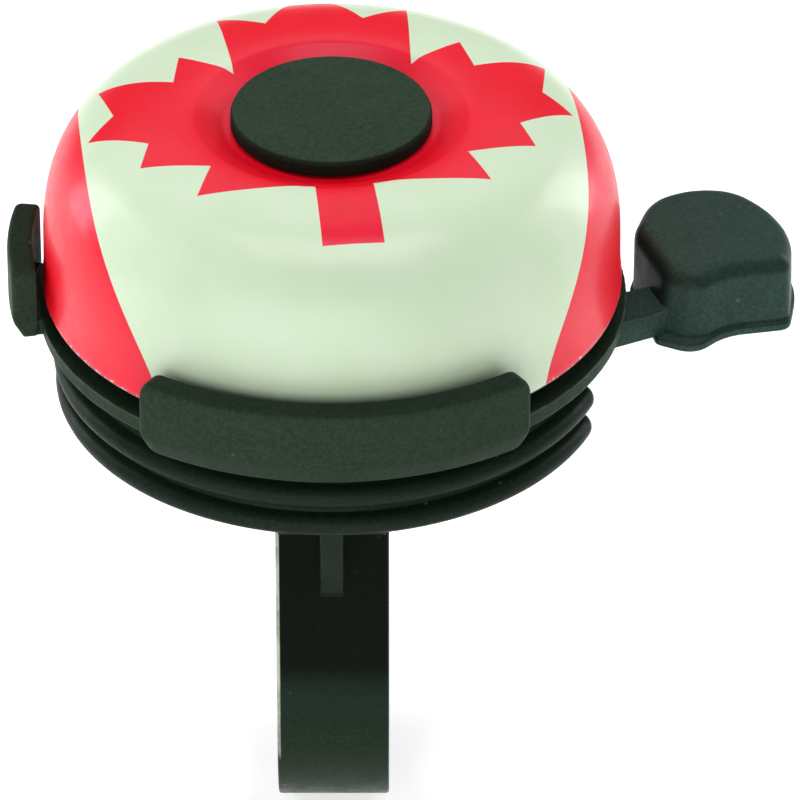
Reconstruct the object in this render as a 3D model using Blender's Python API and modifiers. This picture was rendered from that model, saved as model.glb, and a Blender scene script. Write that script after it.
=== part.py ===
"""Bicycle bell: a printed steel dome over a geared striker, on a strap clamp for a handlebar.

Lengths are millimetres here and metres in the model. The origin is the flat middle of the handlebar seat.
+Z is the bell's axis, +X the thumb lever's side and -Y the side of the strap's hinge.
"""

import math

import bmesh
import bpy
from mathutils import Matrix, Vector

MM = 0.001
TURN = 2 * math.pi
GAP = 0.3

# Heights of the main layers, with most of them measured down or up from the dome's rim
RIM_Z = 28.7
BASE_BOTTOM = RIM_Z - 13.3
FLOOR_TOP = RIM_Z - 11.1
BASE_TOP = RIM_Z - 4.0
FLANGE_BOTTOM = RIM_Z - 3.7
FLANGE_TOP = RIM_Z - 1.9
BOSS_TOP = RIM_Z - 5.3

# Base
BASE_R = 27.4
CHAMBER_R = 24.6
RECESS_WALL_R = 26.0
RIB_R = 1.15
RIBS = ((29.3, RIM_Z - 8.5), (29.1, RIM_Z - 12.1))
NOTCH = (math.radians(-18.5), math.radians(60))
WINDOW = (math.radians(-15), math.radians(42))
BORE_FLOOR = BASE_BOTTOM + 0.6

# Guard ring and its bumpers, as (middle, half width) round the axis
FLANGE_R = 30.7
FLANGE_IN_R = 24.9
BUMPER_IN_R = 31.2
BUMPER_OUT_R = 33.8
BUMPER_TOP = RIM_Z + 5.3
BUMPERS = (
    (math.radians(90), math.radians(35.5)),
    (math.radians(180.2), math.radians(10.8)),
    (math.radians(271), math.radians(35.5)),
)
GUARD_SCREW_R = 26.3
GUARD_SCREW_SEAT = FLANGE_BOTTOM + 0.6
GUARD_SCREW_ANGLES = {
    "a": math.radians(90),
    "b": math.radians(210),
    "c": math.radians(330),
}

# Dome
DOME_R = 30.0
DOME_FLARE = 0.2
DOME_WALL = 0.85
DOME_CROWN_R = 15.0
DOME_SHOULDER_Z = RIM_Z + 4.9
DOME_TOP = RIM_Z + 20.0
DOME_POWER = 2.7
DOME_BORE_R = 2.4
RECESS_R = 13.2
RECESS_Z = RIM_Z + 18.6
DIMPLE_R = 7.2
DIMPLE_Z = RIM_Z + 16.8

# Centre post, cap and fasteners
POST_R = 2.1
POST_BORE_R = 2.2
POST_TOP = RIM_Z + 19.7
BOSS_R = 5.6
CAP_R = 10.4
CAP_TOP = RIM_Z + 20.6
CAP_ROOF = RIM_Z + 20.0

# Gears
MODULE = 0.8
PRESSURE = math.radians(25)
ADDENDUM = 0.8 * MODULE
DEDENDUM = 1.1 * MODULE
TOOTH_FILL = 0.82
SECTOR_TEETH = 43
PINION_TEETH = 10
IDLER_TEETH = 23
IDLER_ANGLE = math.radians(165)
IDLER_R = (SECTOR_TEETH - PINION_TEETH) * MODULE / 2
IDLER_XY = (IDLER_R * math.cos(IDLER_ANGLE), IDLER_R * math.sin(IDLER_ANGLE))
IDLER_PIN_R = 1.5
IDLER_BORE_R = 1.6
LEVER_GEAR_Z = (RIM_Z - 7.9, RIM_Z - 5.3)
TRAIN_Z = (RIM_Z - 5.0, RIM_Z - 2.4)

# Thumb lever
ARM_Z = (RIM_Z - 8.15, RIM_Z - 5.35)
PADDLE_Z = (RIM_Z - 8.2, RIM_Z - 0.5)
PADDLE_LIP_Z = (RIM_Z - 8.75, RIM_Z - 7.75)
PADDLE_ROOF = 1.6
LEVER_BORE_R = BOSS_R + 0.1

# Rotor and strikers
CARRIER_Z = (RIM_Z - 1.1, RIM_Z + 0.3)
SLEEVE_R = 3.0
STRIKER_ORBIT = 22.6
STRIKER_R = 4.9
STRIKER_BORE_R = 2.75
STRIKER_Z = (RIM_Z + 0.6, RIM_Z + 2.7)
STRIKER_PIN_R = 1.5
STRIKER_ANGLES = {"a": math.radians(75), "b": math.radians(255)}

# Clamp
BAR_R = 15.9
STRAP_IN_R = 16.0
STRAP_WALL = 2.4
STRAP_HALF_WIDTH = 5.65
GUSSET_WIDTH = 2.3
GUSSET_Z = 0.7
HINGE_Y = -17.2
HINGE_Z = 11.0
HINGE_PIN_R = 1.25
HINGE_BORE_R = 1.35
SCREW_Y = 22.8
SCREW_R = 2.0
SCREW_TOP = 14.9
CLAMP_EAR_Z = (3.0, 6.0)
NUT_Z = (10.2, 13.2)
NUT_FLATS = 7.0

# Columns of a matrix that stands an outline of (y, z) points up and extrudes it along X
ACROSS = Matrix(((0, 0, 1, 0), (1, 0, 0, 0), (0, 1, 0, 0), (0, 0, 0, 1)))

BLACK_PLASTIC = ((0.026, 0.034, 0.027), 0.55, 0.0)
STEEL = ((0.55, 0.56, 0.57), 0.32, 1.0)
DARK_STEEL = ((0.22, 0.22, 0.23), 0.4, 1.0)
NYLON = ((0.62, 0.6, 0.52), 0.5, 0.0)
CREAM_PAINT = ((0.66, 0.79, 0.57), 0.3, 0.0)


# Points and outlines


def polar(radius, angle, centre=(0, 0)):
    return (
        centre[0] + radius * math.cos(angle),
        centre[1] + radius * math.sin(angle),
    )


def steps(start, end, count):
    return [start + (end - start) * i / (count - 1) for i in range(count)]


def arc(centre, radius, start, end, count):
    return [polar(radius, angle, centre) for angle in steps(start, end, count)]


def circle(centre, radius, count=32):
    return [polar(radius, TURN * i / count, centre) for i in range(count)]


def hexagon(centre, across_flats):
    """A nut's outline with two flats facing along X."""
    radius = across_flats / math.sqrt(3)
    return [polar(radius, TURN * (i + 0.5) / 6, centre) for i in range(6)]


def box_outline(low, high):
    return [(low[0], low[1]), (high[0], low[1]), (high[0], high[1]), (low[0], high[1])]


def ring_sector(inner, outer, start, end, count=24):
    return arc((0, 0), outer, start, end, count) + arc((0, 0), inner, end, start, count)


def rounded(corners, count=4):
    """An outline from (x, y, radius) corners, each turned into an arc."""
    points = []
    for i, (x, y, radius) in enumerate(corners):
        corner = Vector((x, y))
        before = Vector(corners[i - 1][:2]) - corner
        after = Vector(corners[(i + 1) % len(corners)][:2]) - corner
        half = before.angle(after) / 2
        reach = radius / math.tan(half)
        reach = min(reach, 0.48 * before.length, 0.48 * after.length)
        start = corner + before.normalized() * reach
        end = corner + after.normalized() * reach
        for t in steps(0, 1, count):
            point = start.lerp(corner, t).lerp(corner.lerp(end, t), t)
            points.append(tuple(point))
    return points


# Gear teeth


def involute(angle):
    return math.tan(angle) - angle


def half_tooth(teeth, radius, fill):
    """Half the angle that an external tooth takes at a radius, at this share of the pitch."""
    base = teeth * MODULE / 2 * math.cos(PRESSURE)
    at_radius = math.acos(min(1, base / max(radius, base)))
    return fill * math.pi / (2 * teeth) + involute(PRESSURE) - involute(at_radius)


def gear_outline(teeth, centre, first):
    """A spur gear with one tooth's middle at the angle first."""
    pitch = teeth * MODULE / 2
    radii = steps(pitch - DEDENDUM, pitch + ADDENDUM, 4)
    points = []
    for tooth in range(teeth):
        middle = first + TURN * tooth / teeth
        for radius in radii:
            points.append(polar(radius, middle - half_tooth(teeth, radius, TOOTH_FILL), centre))
        for radius in reversed(radii):
            points.append(polar(radius, middle + half_tooth(teeth, radius, TOOTH_FILL), centre))
    return points


def sector_outline(first, count, smooth_end):
    """The lever's toothed arc: inward teeth from the angle first, then plain ring up to smooth_end."""
    pitch = SECTOR_TEETH * MODULE / 2
    root = pitch + DEDENDUM
    radii = steps(root, pitch - ADDENDUM, 4)
    pitch_angle = TURN / SECTOR_TEETH
    start = first - pitch_angle / 2
    points = [polar(root, start)]
    for tooth in range(count):
        middle = first + pitch_angle * tooth
        sides = []
        for radius in radii:
            half = pitch_angle / 2 - half_tooth(SECTOR_TEETH, radius, 2 - TOOTH_FILL)
            sides.append((radius, half))
        points += [polar(radius, middle - half) for radius, half in sides]
        points += [polar(radius, middle + half) for radius, half in reversed(sides)]
    toothed_end = start + pitch_angle * count
    points += arc((0, 0), root, toothed_end, smooth_end, 6)
    return points + arc((0, 0), root + 1.5, smooth_end, start, 20)


# Objects


def clear_scene():
    for obj in list(bpy.data.objects):
        bpy.data.objects.remove(obj, do_unlink=True)


def new_collection(name):
    made = bpy.data.collections.new(name)
    bpy.context.scene.collection.children.link(made)
    return made


def material(name, finish):
    color, roughness, metallic = finish
    made = bpy.data.materials.new(name)
    made.use_nodes = True
    shader = made.node_tree.nodes["Principled BSDF"]
    shader.inputs["Base Color"].default_value = (*color, 1)
    shader.inputs["Roughness"].default_value = roughness
    shader.inputs["Metallic"].default_value = metallic
    made.diffuse_color = (*color, 1)
    return made


def place(name, data, origin, finish):
    """Adds an object to the bell, or to the cutters if it has no finish."""
    obj = bpy.data.objects.new(name, data)
    obj.location = Vector(origin) * MM
    if finish:
        data.materials.append(material(name, finish))
        BELL.objects.link(obj)
    else:
        obj.hide_render = True
        obj.display_type = "WIRE"
        CUTTERS.objects.link(obj)
    return obj


def turned(name, profile, finish=None, axis=(0, 0), count=48):
    """A turned solid. Its profile is (radius, z) points that run down its outer side."""
    closed = profile[0][0] > 0
    last = len(profile) - (not closed)
    data = bpy.data.meshes.new(name)
    data.from_pydata(
        [(radius * MM, 0, z * MM) for radius, z in profile],
        [(i, (i + 1) % len(profile)) for i in range(last)],
        [],
    )
    obj = place(name, data, (*axis, 0), finish)
    screw = obj.modifiers.new("Turned", "SCREW")
    screw.steps = count
    screw.render_steps = count
    screw.use_merge_vertices = True
    screw.merge_threshold = 0.00001
    return obj


def washer(name, inner, outer, low, high, finish=None, axis=(0, 0), count=24):
    profile = [(inner, high), (outer, high), (outer, low), (inner, low)]
    return turned(name, profile, finish, axis, count)


def rod(name, radius, low, high, finish=None, axis=(0, 0), count=24):
    profile = [(0, high), (radius, high), (radius, low), (0, low)]
    return turned(name, profile, finish, axis, count)


def plate(name, outlines, low, high, finish=None, origin=(0, 0, 0), stand=None):
    """A flat outline, with any holes in it, extruded from low to high about its own origin."""
    curve = bpy.data.curves.new(name, "CURVE")
    curve.dimensions = "2D"
    curve.fill_mode = "BOTH"
    curve.extrude = (high - low) / 2 * MM
    for outline in outlines:
        spline = curve.splines.new("POLY")
        spline.points.add(len(outline) - 1)
        for point, (x, y) in zip(spline.points, outline):
            point.co = (x * MM, y * MM, 0, 1)
        spline.use_cyclic_u = True
    flat = bpy.data.objects.new(name, curve)
    CUTTERS.objects.link(flat)
    data = bpy.data.meshes.new_from_object(
        flat.evaluated_get(bpy.context.evaluated_depsgraph_get())
    )
    bpy.data.objects.remove(flat)
    bpy.data.curves.remove(curve)
    data.name = name
    data.transform(Matrix.Translation((0, 0, (low + high) / 2 * MM)))
    if stand:
        data.transform(stand)
    data.transform(Matrix.Translation(Vector(origin) * -MM))
    weld(data)
    return place(name, data, origin, finish)


def weld(data):
    """Joins an extruded curve's caps to its sides and turns every face outwards."""
    mesh = bmesh.new()
    mesh.from_mesh(data)
    bmesh.ops.remove_doubles(mesh, verts=mesh.verts, dist=0.000001)
    bmesh.ops.recalc_face_normals(mesh, faces=mesh.faces)
    mesh.to_mesh(data)
    mesh.free()


def boolean(target, tool, operation):
    modifier = target.modifiers.new(tool.name, "BOOLEAN")
    modifier.solver = "EXACT"
    modifier.operation = operation
    modifier.object = tool


def cut(target, tool):
    boolean(target, tool, "DIFFERENCE")


def join(target, tool):
    boolean(target, tool, "UNION")


def wire(name, points, radius, finish):
    curve = bpy.data.curves.new(name, "CURVE")
    curve.dimensions = "3D"
    curve.bevel_depth = radius * MM
    curve.bevel_resolution = 1
    curve.use_fill_caps = True
    spline = curve.splines.new("POLY")
    spline.points.add(len(points) - 1)
    for point, place_at in zip(spline.points, points):
        point.co = (*(v * MM for v in place_at), 1)
    return place(name, curve, (0, 0, 0), finish)


def shade_round(*objects):
    for obj in objects:
        for face in obj.data.polygons:
            face.use_smooth = True
        for modifier in obj.modifiers:
            if modifier.type == "SCREW":
                modifier.use_smooth_shade = True


# Base and guard ring


def rib_profile():
    """The outside of the base from top to bottom, with its round-edged ribs."""
    points = [(BASE_R, BASE_TOP)]
    for tip, height in RIBS:
        points.append((BASE_R, height + RIB_R))
        points += arc((tip - RIB_R, height), RIB_R, math.pi / 2, -math.pi / 2, 7)
        points.append((BASE_R, height - RIB_R))
    points.append((BASE_R - 0.3, BASE_BOTTOM))
    return points


def base_housing():
    inside = [
        (0, BORE_FLOOR),
        (POST_BORE_R, BORE_FLOOR),
        (POST_BORE_R, BOSS_TOP),
        (BOSS_R, BOSS_TOP),
        (BOSS_R, FLOOR_TOP),
        (CHAMBER_R, FLOOR_TOP),
        (CHAMBER_R, BASE_TOP),
    ]
    profile = inside + rib_profile() + [(0, BASE_BOTTOM)]
    base = turned("base_housing", profile, BLACK_PLASTIC, count=64)
    notch = ring_sector(RECESS_WALL_R, 34, *NOTCH)
    cut(base, plate("lever_notch", [notch], BASE_BOTTOM - 1, BASE_TOP + 1))
    window = ring_sector(22, 27, *WINDOW, 12)
    cut(base, plate("lever_window", [window], ARM_Z[0] - 0.4, BASE_TOP + 1))
    join(base, rod("idler_boss", 3.0, FLOOR_TOP - 0.5, LEVER_GEAR_Z[0] - 0.5, axis=IDLER_XY))
    pin_bore = (IDLER_PIN_R + 0.08, BORE_FLOOR + 0.1, LEVER_GEAR_Z[0])
    cut(base, rod("idler_pin_bore", *pin_bore, axis=IDLER_XY))
    for key, angle in GUARD_SCREW_ANGLES.items():
        spot = polar(GUARD_SCREW_R, angle)
        depth = (BASE_TOP - 5.2, BASE_TOP + 1)
        cut(base, rod("base_screw_bore_" + key, 0.95, *depth, axis=spot, count=12))
    add_bar_seat(base)
    add_hinge_ears(base)
    add_nut_block(base)
    return base


def add_bar_seat(base):
    """The pedestal: its flat middle and its two slopes touch a round bar."""
    outline = [
        (-4.0, 0),
        (4.0, 0),
        (12.6, -4.6),
        (13.4, -4.4),
        (12.6, BASE_BOTTOM + 0.3),
        (-12.6, BASE_BOTTOM + 0.3),
        (-13.4, -4.4),
        (-12.6, -4.6),
    ]
    join(base, plate("bar_seat_block", [outline], -5.2, 5.2, stand=ACROSS))


def add_hinge_ears(base):
    """Two ears for the strap's hinge pin, with the knuckle's slot between them."""
    top = BASE_BOTTOM + 0.4
    outline = arc((HINGE_Y, HINGE_Z), 2.75, -math.pi, 0, 11)
    outline += [(HINGE_Y + 3.4, top), (HINGE_Y - 3.4, top)]
    join(base, plate("hinge_ears_block", [outline], -5.6, 5.6, stand=ACROSS))
    slot = box_outline((HINGE_Y - 3.0, 0), (HINGE_Y + 3.8, BASE_BOTTOM - 0.1))
    cut(base, plate("knuckle_slot", [slot], -3.3, 3.3, stand=ACROSS))
    bore = circle((HINGE_Y, HINGE_Z), HINGE_BORE_R - 0.02, 24)
    cut(base, plate("hinge_bore", [bore], -8, 8, stand=ACROSS))


def add_nut_block(base):
    """The rear block that holds the clamp nut in a slot, above the strap's screw ear."""
    low = 8.4
    top = BASE_BOTTOM + 0.5
    outline = [(15.2, low), (26.8, low), (27.0, top), (15.2, top)]
    join(base, plate("nut_block_solid", [outline], -5.5, 5.5, stand=ACROSS))
    half = NUT_FLATS / 2 + 0.25
    slot = box_outline((-half, SCREW_Y - 4.4), (half, 32))
    cut(base, plate("nut_slot", [slot], NUT_Z[0] - GAP, NUT_Z[1] + GAP))
    bore = (SCREW_R + 0.3, low - 1, BASE_BOTTOM - 0.1)
    cut(base, rod("base_clamp_bore", *bore, axis=(0, SCREW_Y)))


def guard_ring():
    """A flange with its bumpers: the full bumper section all round, cut away between them."""
    profile = [
        (FLANGE_IN_R, FLANGE_TOP),
        (BUMPER_IN_R, FLANGE_TOP),
        (BUMPER_IN_R, BUMPER_TOP - 0.4),
        (BUMPER_IN_R + 0.4, BUMPER_TOP),
        (BUMPER_OUT_R - 0.7, BUMPER_TOP),
        (BUMPER_OUT_R, BUMPER_TOP - 0.7),
        (BUMPER_OUT_R, RIM_Z - 1.3),
        (BUMPER_OUT_R - 1.2, FLANGE_BOTTOM),
        (FLANGE_IN_R, FLANGE_BOTTOM),
    ]
    ring = turned("guard_ring", profile, BLACK_PLASTIC, count=64)
    for i, (middle, half) in enumerate(BUMPERS):
        after, after_half = BUMPERS[(i + 1) % len(BUMPERS)]
        start = middle + half
        end = after - after_half
        if end < start:
            end += TURN
        gap = ring_sector(FLANGE_R, 36, start, end, 30)
        cut(ring, plate(f"bumper_gap_{i}", [gap], FLANGE_BOTTOM - 1, BUMPER_TOP + 1))
    top = FLANGE_TOP + 1
    for key, angle in GUARD_SCREW_ANGLES.items():
        spot = polar(GUARD_SCREW_R, angle)
        bore = (1.1, FLANGE_BOTTOM - 1, top)
        cut(ring, rod("ring_screw_bore_" + key, *bore, axis=spot, count=12))
        seat = (1.9, GUARD_SCREW_SEAT, top)
        cut(ring, rod("ring_screw_seat_" + key, *seat, axis=spot, count=16))
    return ring


def guard_screw(key):
    head_top = FLANGE_TOP - 0.05
    head_bottom = GUARD_SCREW_SEAT + 0.25
    profile = [
        (0, head_top),
        (1.6, head_top),
        (1.6, head_bottom),
        (0.85, head_bottom),
        (0.85, BASE_TOP - 4.3),
        (0, BASE_TOP - 4.9),
    ]
    spot = polar(GUARD_SCREW_R, GUARD_SCREW_ANGLES[key])
    screw = turned("guard_screw_" + key, profile, STEEL, spot, 16)
    slot = box_outline((spot[0] - 1.1, spot[1] - 0.2), (spot[0] + 1.1, spot[1] + 0.2))
    cut(screw, plate("guard_screw_slot_" + key, [slot], head_top - 0.4, head_top + 1))
    return screw


# Clamp


def clamp_strap():
    """A hoop round the bar with a hinge knuckle in front and a screw ear behind."""
    out_r = STRAP_IN_R + STRAP_WALL
    centre = (0, -BAR_R)
    ear_low = CLAMP_EAR_Z[0] + 1
    hoop = [(-out_r, HINGE_Z)]
    hoop += arc(centre, out_r, math.pi, TURN, 33)
    hoop += [(out_r, ear_low), (STRAP_IN_R, ear_low)]
    hoop += arc(centre, STRAP_IN_R, TURN, math.pi, 33)
    hoop += [(-STRAP_IN_R, HINGE_Z - 1)]
    origin = (0, HINGE_Y, HINGE_Z)
    width = (-STRAP_HALF_WIDTH, STRAP_HALF_WIDTH)
    strap = plate("clamp_strap", [hoop], *width, BLACK_PLASTIC, origin, ACROSS)
    clear_side = box_outline((-21, HINGE_Z - 3.4), (-13, HINGE_Z + 2))
    knuckle_half = 2.95
    for side in (-1, 1):
        low, high = sorted((side * knuckle_half, side * 7))
        cut(strap, plate(f"knuckle_side_{side}", [clear_side], low, high, stand=ACROSS))
    hinge = (HINGE_Y, HINGE_Z)
    half = knuckle_half - 0.01
    join(strap, plate("knuckle", [circle(hinge, 2.55, 24)], -half, half, stand=ACROSS))
    half = GUSSET_WIDTH / 2
    join(strap, plate("gusset", [gusset_outline()], -half, half, stand=ACROSS))
    bore = circle(hinge, HINGE_BORE_R + 0.01, 24)
    cut(strap, plate("knuckle_bore", [bore], -8, 8, stand=ACROSS))
    ear = box_outline((-5.2, STRAP_IN_R + 0.1), (5.2, 27.6))
    join(strap, plate("clamp_ear", [ear], *CLAMP_EAR_Z))
    cut(strap, rod("clamp_ear_bore", SCREW_R + 0.75, 0, 9, axis=(0, SCREW_Y)))
    return strap


def gusset_outline():
    """The stiffening rib down the strap's front, from the knuckle to its point."""
    face = -STRAP_IN_R - STRAP_WALL
    return [
        (face + 0.8, GUSSET_Z),
        (face - 0.1, GUSSET_Z),
        (-23.4, 9.6),
        (-23.0, 10.8),
        (-19.5, 12.0),
        (face + 0.8, 11),
    ]


def clamp_screw():
    profile = [
        (0, SCREW_TOP),
        (SCREW_R - 0.5, SCREW_TOP),
        (SCREW_R, SCREW_TOP - 0.5),
        (SCREW_R, 1.6),
        (3.8, 1.6),
        (3.8, 0.4),
        (3.0, -0.7),
        (1.6, -1.1),
        (0, -1.2),
    ]
    screw = turned("clamp_screw", profile, STEEL, (0, SCREW_Y), 24)
    for i, (long, short) in enumerate(((2.0, 0.35), (0.35, 2.0))):
        slot = box_outline((-long, SCREW_Y - short), (long, SCREW_Y + short))
        cut(screw, plate(f"drive_slot_{i}", [slot], -3, 0.5))
    return screw


def clamp_hardware():
    hinge = (HINGE_Y, HINGE_Z)
    pin = [circle(hinge, HINGE_PIN_R, 20)]
    plate("strap_hinge_pin", pin, -5.5, 5.5, STEEL, (0, *hinge), ACROSS)
    spot = (0, SCREW_Y)
    nut = [hexagon(spot, NUT_FLATS), circle(spot, SCREW_R + 0.1, 24)]
    plate("clamp_nut", nut, *NUT_Z, STEEL, (*spot, 0))
    washer("clamp_washer", SCREW_R + 0.2, 4.4, 1.9, 2.7, STEEL, spot)


# Lever and gear train


def lever_outline():
    """The arm in plan, from inside the hub out to the paddle, cranked where it leaves the base."""
    return rounded(
        [
            (5.6, -5.2, 0.5),
            (24.4, -4.6, 3),
            (29.5, -1.7, 3),
            (37.0, 1.9, 0.3),
            (36.0, 6.6, 0.3),
            (31.4, 4.6, 3),
            (24.0, 1.6, 3),
            (6.2, 3.4, 0.5),
        ]
    )


def paddle_top():
    """The paddle's body in plan: a blunt right end and a wavy front that the thumb pushes."""
    return rounded(
        [
            (35.6, 0.4, 1.2),
            (38.5, -0.4, 2.6),
            (41.4, 2.1, 5),
            (47.6, 3.2, 1.3),
            (48.1, 8.6, 6),
            (46.2, 13.0, 5),
            (42.8, 16.6, 3.5),
            (38.4, 16.8, 4),
            (33.9, 14.4, 3),
            (31.2, 10.0, 1.5),
        ],
        5,
    )


def paddle_lip():
    """The ledge round the paddle's foot."""
    return rounded(
        [
            (34.6, -0.1, 1.0),
            (38.0, -2.0, 2.8),
            (41.3, 1.6, 4),
            (47.7, 2.8, 1.5),
            (49.1, 9.0, 7),
            (47.2, 13.8, 5),
            (43.2, 17.5, 4),
            (38.2, 17.7, 4),
            (33.4, 15.2, 3),
            (31.5, 11.2, 2),
            (31.5, 6.2, 1.5),
        ],
        5,
    )


def paddle_hollow():
    return rounded(
        [
            (36.8, 2.4, 0.8),
            (38.8, 1.5, 2),
            (41.4, 3.9, 4),
            (46.0, 4.8, 1),
            (46.4, 8.5, 5),
            (44.6, 12.2, 4),
            (42.1, 15.0, 3),
            (38.7, 15.2, 3),
            (35.0, 13.2, 2),
            (33.2, 10.0, 1),
        ],
        4,
    )


def thumb_lever():
    low, high = LEVER_GEAR_Z
    pitch_angle = TURN / SECTOR_TEETH
    first = IDLER_ANGLE + pitch_angle * 1.5 - pitch_angle * 6
    sector = sector_outline(first, 6, IDLER_ANGLE + math.radians(34))
    lever = plate("thumb_lever", [sector], low, high, BLACK_PLASTIC)
    spoke_ends = (IDLER_ANGLE + math.radians(26), IDLER_ANGLE + math.radians(33))
    spoke = ring_sector(6.6, 19.2, *spoke_ends, 4)
    join(lever, plate("lever_spoke", [spoke], low + 0.2, high - 0.2))
    join(lever, washer("lever_hub", LEVER_BORE_R, 7.5, low + 0.1, high - 0.1, count=40))
    join(lever, plate("lever_arm", [lever_outline()], *ARM_Z))
    cut(lever, rod("spring_space", 17.0, ARM_Z[0] - 1, low - 0.1, count=40))
    cut(lever, rod("lever_hub_bore", LEVER_BORE_R, low - 1, high + 1, count=40))
    join(lever, plate("paddle_body", [paddle_top()], *PADDLE_Z))
    join(lever, plate("paddle_rim", [paddle_lip()], *PADDLE_LIP_Z))
    space = (PADDLE_LIP_Z[0] - 1, PADDLE_Z[1] - PADDLE_ROOF)
    cut(lever, plate("paddle_space", [paddle_hollow()], *space))
    return lever


def idler_gear():
    name = "idler_gear"
    pinion = gear_outline(PINION_TEETH, IDLER_XY, IDLER_ANGLE)
    wheel = gear_outline(IDLER_TEETH, IDLER_XY, IDLER_ANGLE + math.pi)
    bore = circle(IDLER_XY, IDLER_BORE_R, 24)
    gear = plate(name, [wheel, bore], *TRAIN_Z, NYLON, (*IDLER_XY, 0))
    pinion_bore = circle(IDLER_XY, IDLER_BORE_R + 0.01, 24)
    pinion_z = (LEVER_GEAR_Z[0], TRAIN_Z[0] + 0.2)
    join(gear, plate("idler_pinion", [pinion, pinion_bore], *pinion_z))
    return gear


def rotor_pinion():
    outline = gear_outline(PINION_TEETH, (0, 0), IDLER_ANGLE + math.pi / PINION_TEETH)
    bore = circle((0, 0), POST_BORE_R, 32)
    gear = plate("rotor_pinion", [outline, bore], *TRAIN_Z, NYLON)
    sleeve = (POST_BORE_R + 0.01, SLEEVE_R, TRAIN_Z[1] - 0.5, CARRIER_Z[1] + 0.9)
    join(gear, washer("rotor_sleeve", *sleeve))
    return gear


def rotor_carrier():
    """Two arms, each with a round end that holds a striker's pin."""
    half = 4.4
    along = STRIKER_ANGLES["a"]
    outline = arc((STRIKER_ORBIT, 0), half, -math.pi / 2, math.pi / 2, 13)
    outline += arc((0, 0), 8.0, math.radians(38), math.radians(142), 13)
    outline += arc((-STRIKER_ORBIT, 0), half, math.pi / 2, 3 * math.pi / 2, 13)
    outline += arc((0, 0), 8.0, math.radians(218), math.radians(322), 13)
    turn = Matrix.Rotation(along, 2)
    outline = [tuple(turn @ Vector(point)) for point in outline]
    holes = [circle((0, 0), SLEEVE_R + 0.15, 32)]
    for angle in STRIKER_ANGLES.values():
        holes.append(circle(polar(STRIKER_ORBIT, angle), STRIKER_PIN_R + 0.1, 20))
    return plate("rotor_carrier", [outline, *holes], *CARRIER_Z, DARK_STEEL)


def striker(key):
    spot = polar(STRIKER_ORBIT, STRIKER_ANGLES[key])
    head = 3.6
    low, high = STRIKER_Z
    bevel = 0.3
    pin = [
        (0, high + 0.9),
        (head - 0.3, high + 0.9),
        (head, high + 0.6),
        (head, high + GAP),
        (STRIKER_PIN_R, high + GAP),
        (STRIKER_PIN_R, CARRIER_Z[0]),
        (0, CARRIER_Z[0]),
    ]
    ring = [
        (STRIKER_BORE_R, high),
        (STRIKER_R - bevel, high),
        (STRIKER_R, high - bevel),
        (STRIKER_R, low + bevel),
        (STRIKER_R - bevel, low),
        (STRIKER_BORE_R, low),
    ]
    shade_round(
        turned("striker_pin_" + key, pin, DARK_STEEL, spot, 20),
        turned("striker_" + key, ring, STEEL, spot, 32),
    )


def return_spring():
    """A flat torsion spring round the base's boss, with one leg to the wall and one under the lever."""
    radius = 6.7
    wire_r = 0.3
    bottom = FLOOR_TOP + 0.25 + wire_r
    top = LEVER_GEAR_Z[0] - 0.35 - wire_r
    start = math.radians(-80)
    turns = 2.1
    count = 40
    points = [(*polar(15.0, start - 0.35), bottom)]
    for t in steps(0, 1, count):
        angle = start + TURN * turns * t
        points.append((*polar(radius, angle), bottom + (top - bottom) * t))
    points.append((*polar(14.0, start + TURN * turns + 0.4), top))
    wire("return_spring", points, wire_r, STEEL)


def train_hardware():
    clip_z = (TRAIN_Z[1] + 0.25, TRAIN_Z[1] + 0.6)
    washer("idler_clip", IDLER_PIN_R + 0.06, 2.7, *clip_z, STEEL, IDLER_XY, 24)
    rod("idler_pin", IDLER_PIN_R, BORE_FLOOR + 0.4, TRAIN_Z[1] + 0.7, STEEL, IDLER_XY)


# Dome and what holds it


def dome_side(offset, count):
    """Points down the dome's shoulder and skirt, drawn in by offset."""
    across = DOME_R - offset - DOME_CROWN_R
    rise = DOME_TOP - offset - DOME_SHOULDER_Z
    points = []
    for angle in steps(math.pi / 2, 0, count):
        x = max(0, math.cos(angle)) ** (2 / DOME_POWER)
        y = max(0, math.sin(angle)) ** (2 / DOME_POWER)
        points.append((DOME_CROWN_R + across * x, DOME_SHOULDER_Z + rise * y))
    return points


def dome():
    wall = DOME_WALL
    rim_r = DOME_R + DOME_FLARE
    outside = [
        (DOME_BORE_R, DIMPLE_Z),
        (DIMPLE_R - 0.9, DIMPLE_Z),
        (DIMPLE_R, RECESS_Z),
        (RECESS_R - 0.6, RECESS_Z),
        (RECESS_R + 0.6, DOME_TOP - 0.5),
    ]
    outside += dome_side(0, 11) + [(rim_r, RIM_Z)]
    inside = [(rim_r - wall, RIM_Z)] + dome_side(wall, 8)[::-1]
    inside += [
        (RECESS_R + 1.0, DOME_TOP - wall - 0.35),
        (RECESS_R - 0.2, RECESS_Z - wall),
        (DIMPLE_R + 0.8, RECESS_Z - wall),
        (DIMPLE_R - 0.1, DIMPLE_Z - wall),
        (DOME_BORE_R, DIMPLE_Z - wall),
    ]
    return turned("dome", outside + inside, CREAM_PAINT, count=64)


def dome_cap():
    """A push-on cap: a shallow cup with an inner collar that grips the nut."""
    low = RECESS_Z + 0.2
    collar_low = RECESS_Z - 0.3
    profile = [
        (0, CAP_TOP),
        (CAP_R - 0.45, CAP_TOP),
        (CAP_R - 0.1, CAP_TOP - 0.13),
        (CAP_R, CAP_TOP - 0.45),
        (CAP_R, low),
        (CAP_R - 1, low),
        (CAP_R - 1, CAP_ROOF - 0.05),
        (5.6, CAP_ROOF - 0.05),
        (5.6, collar_low),
        (4.5, collar_low),
        (4.5, CAP_ROOF),
        (0, CAP_ROOF),
    ]
    return turned("dome_cap", profile, BLACK_PLASTIC, count=36)


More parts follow.
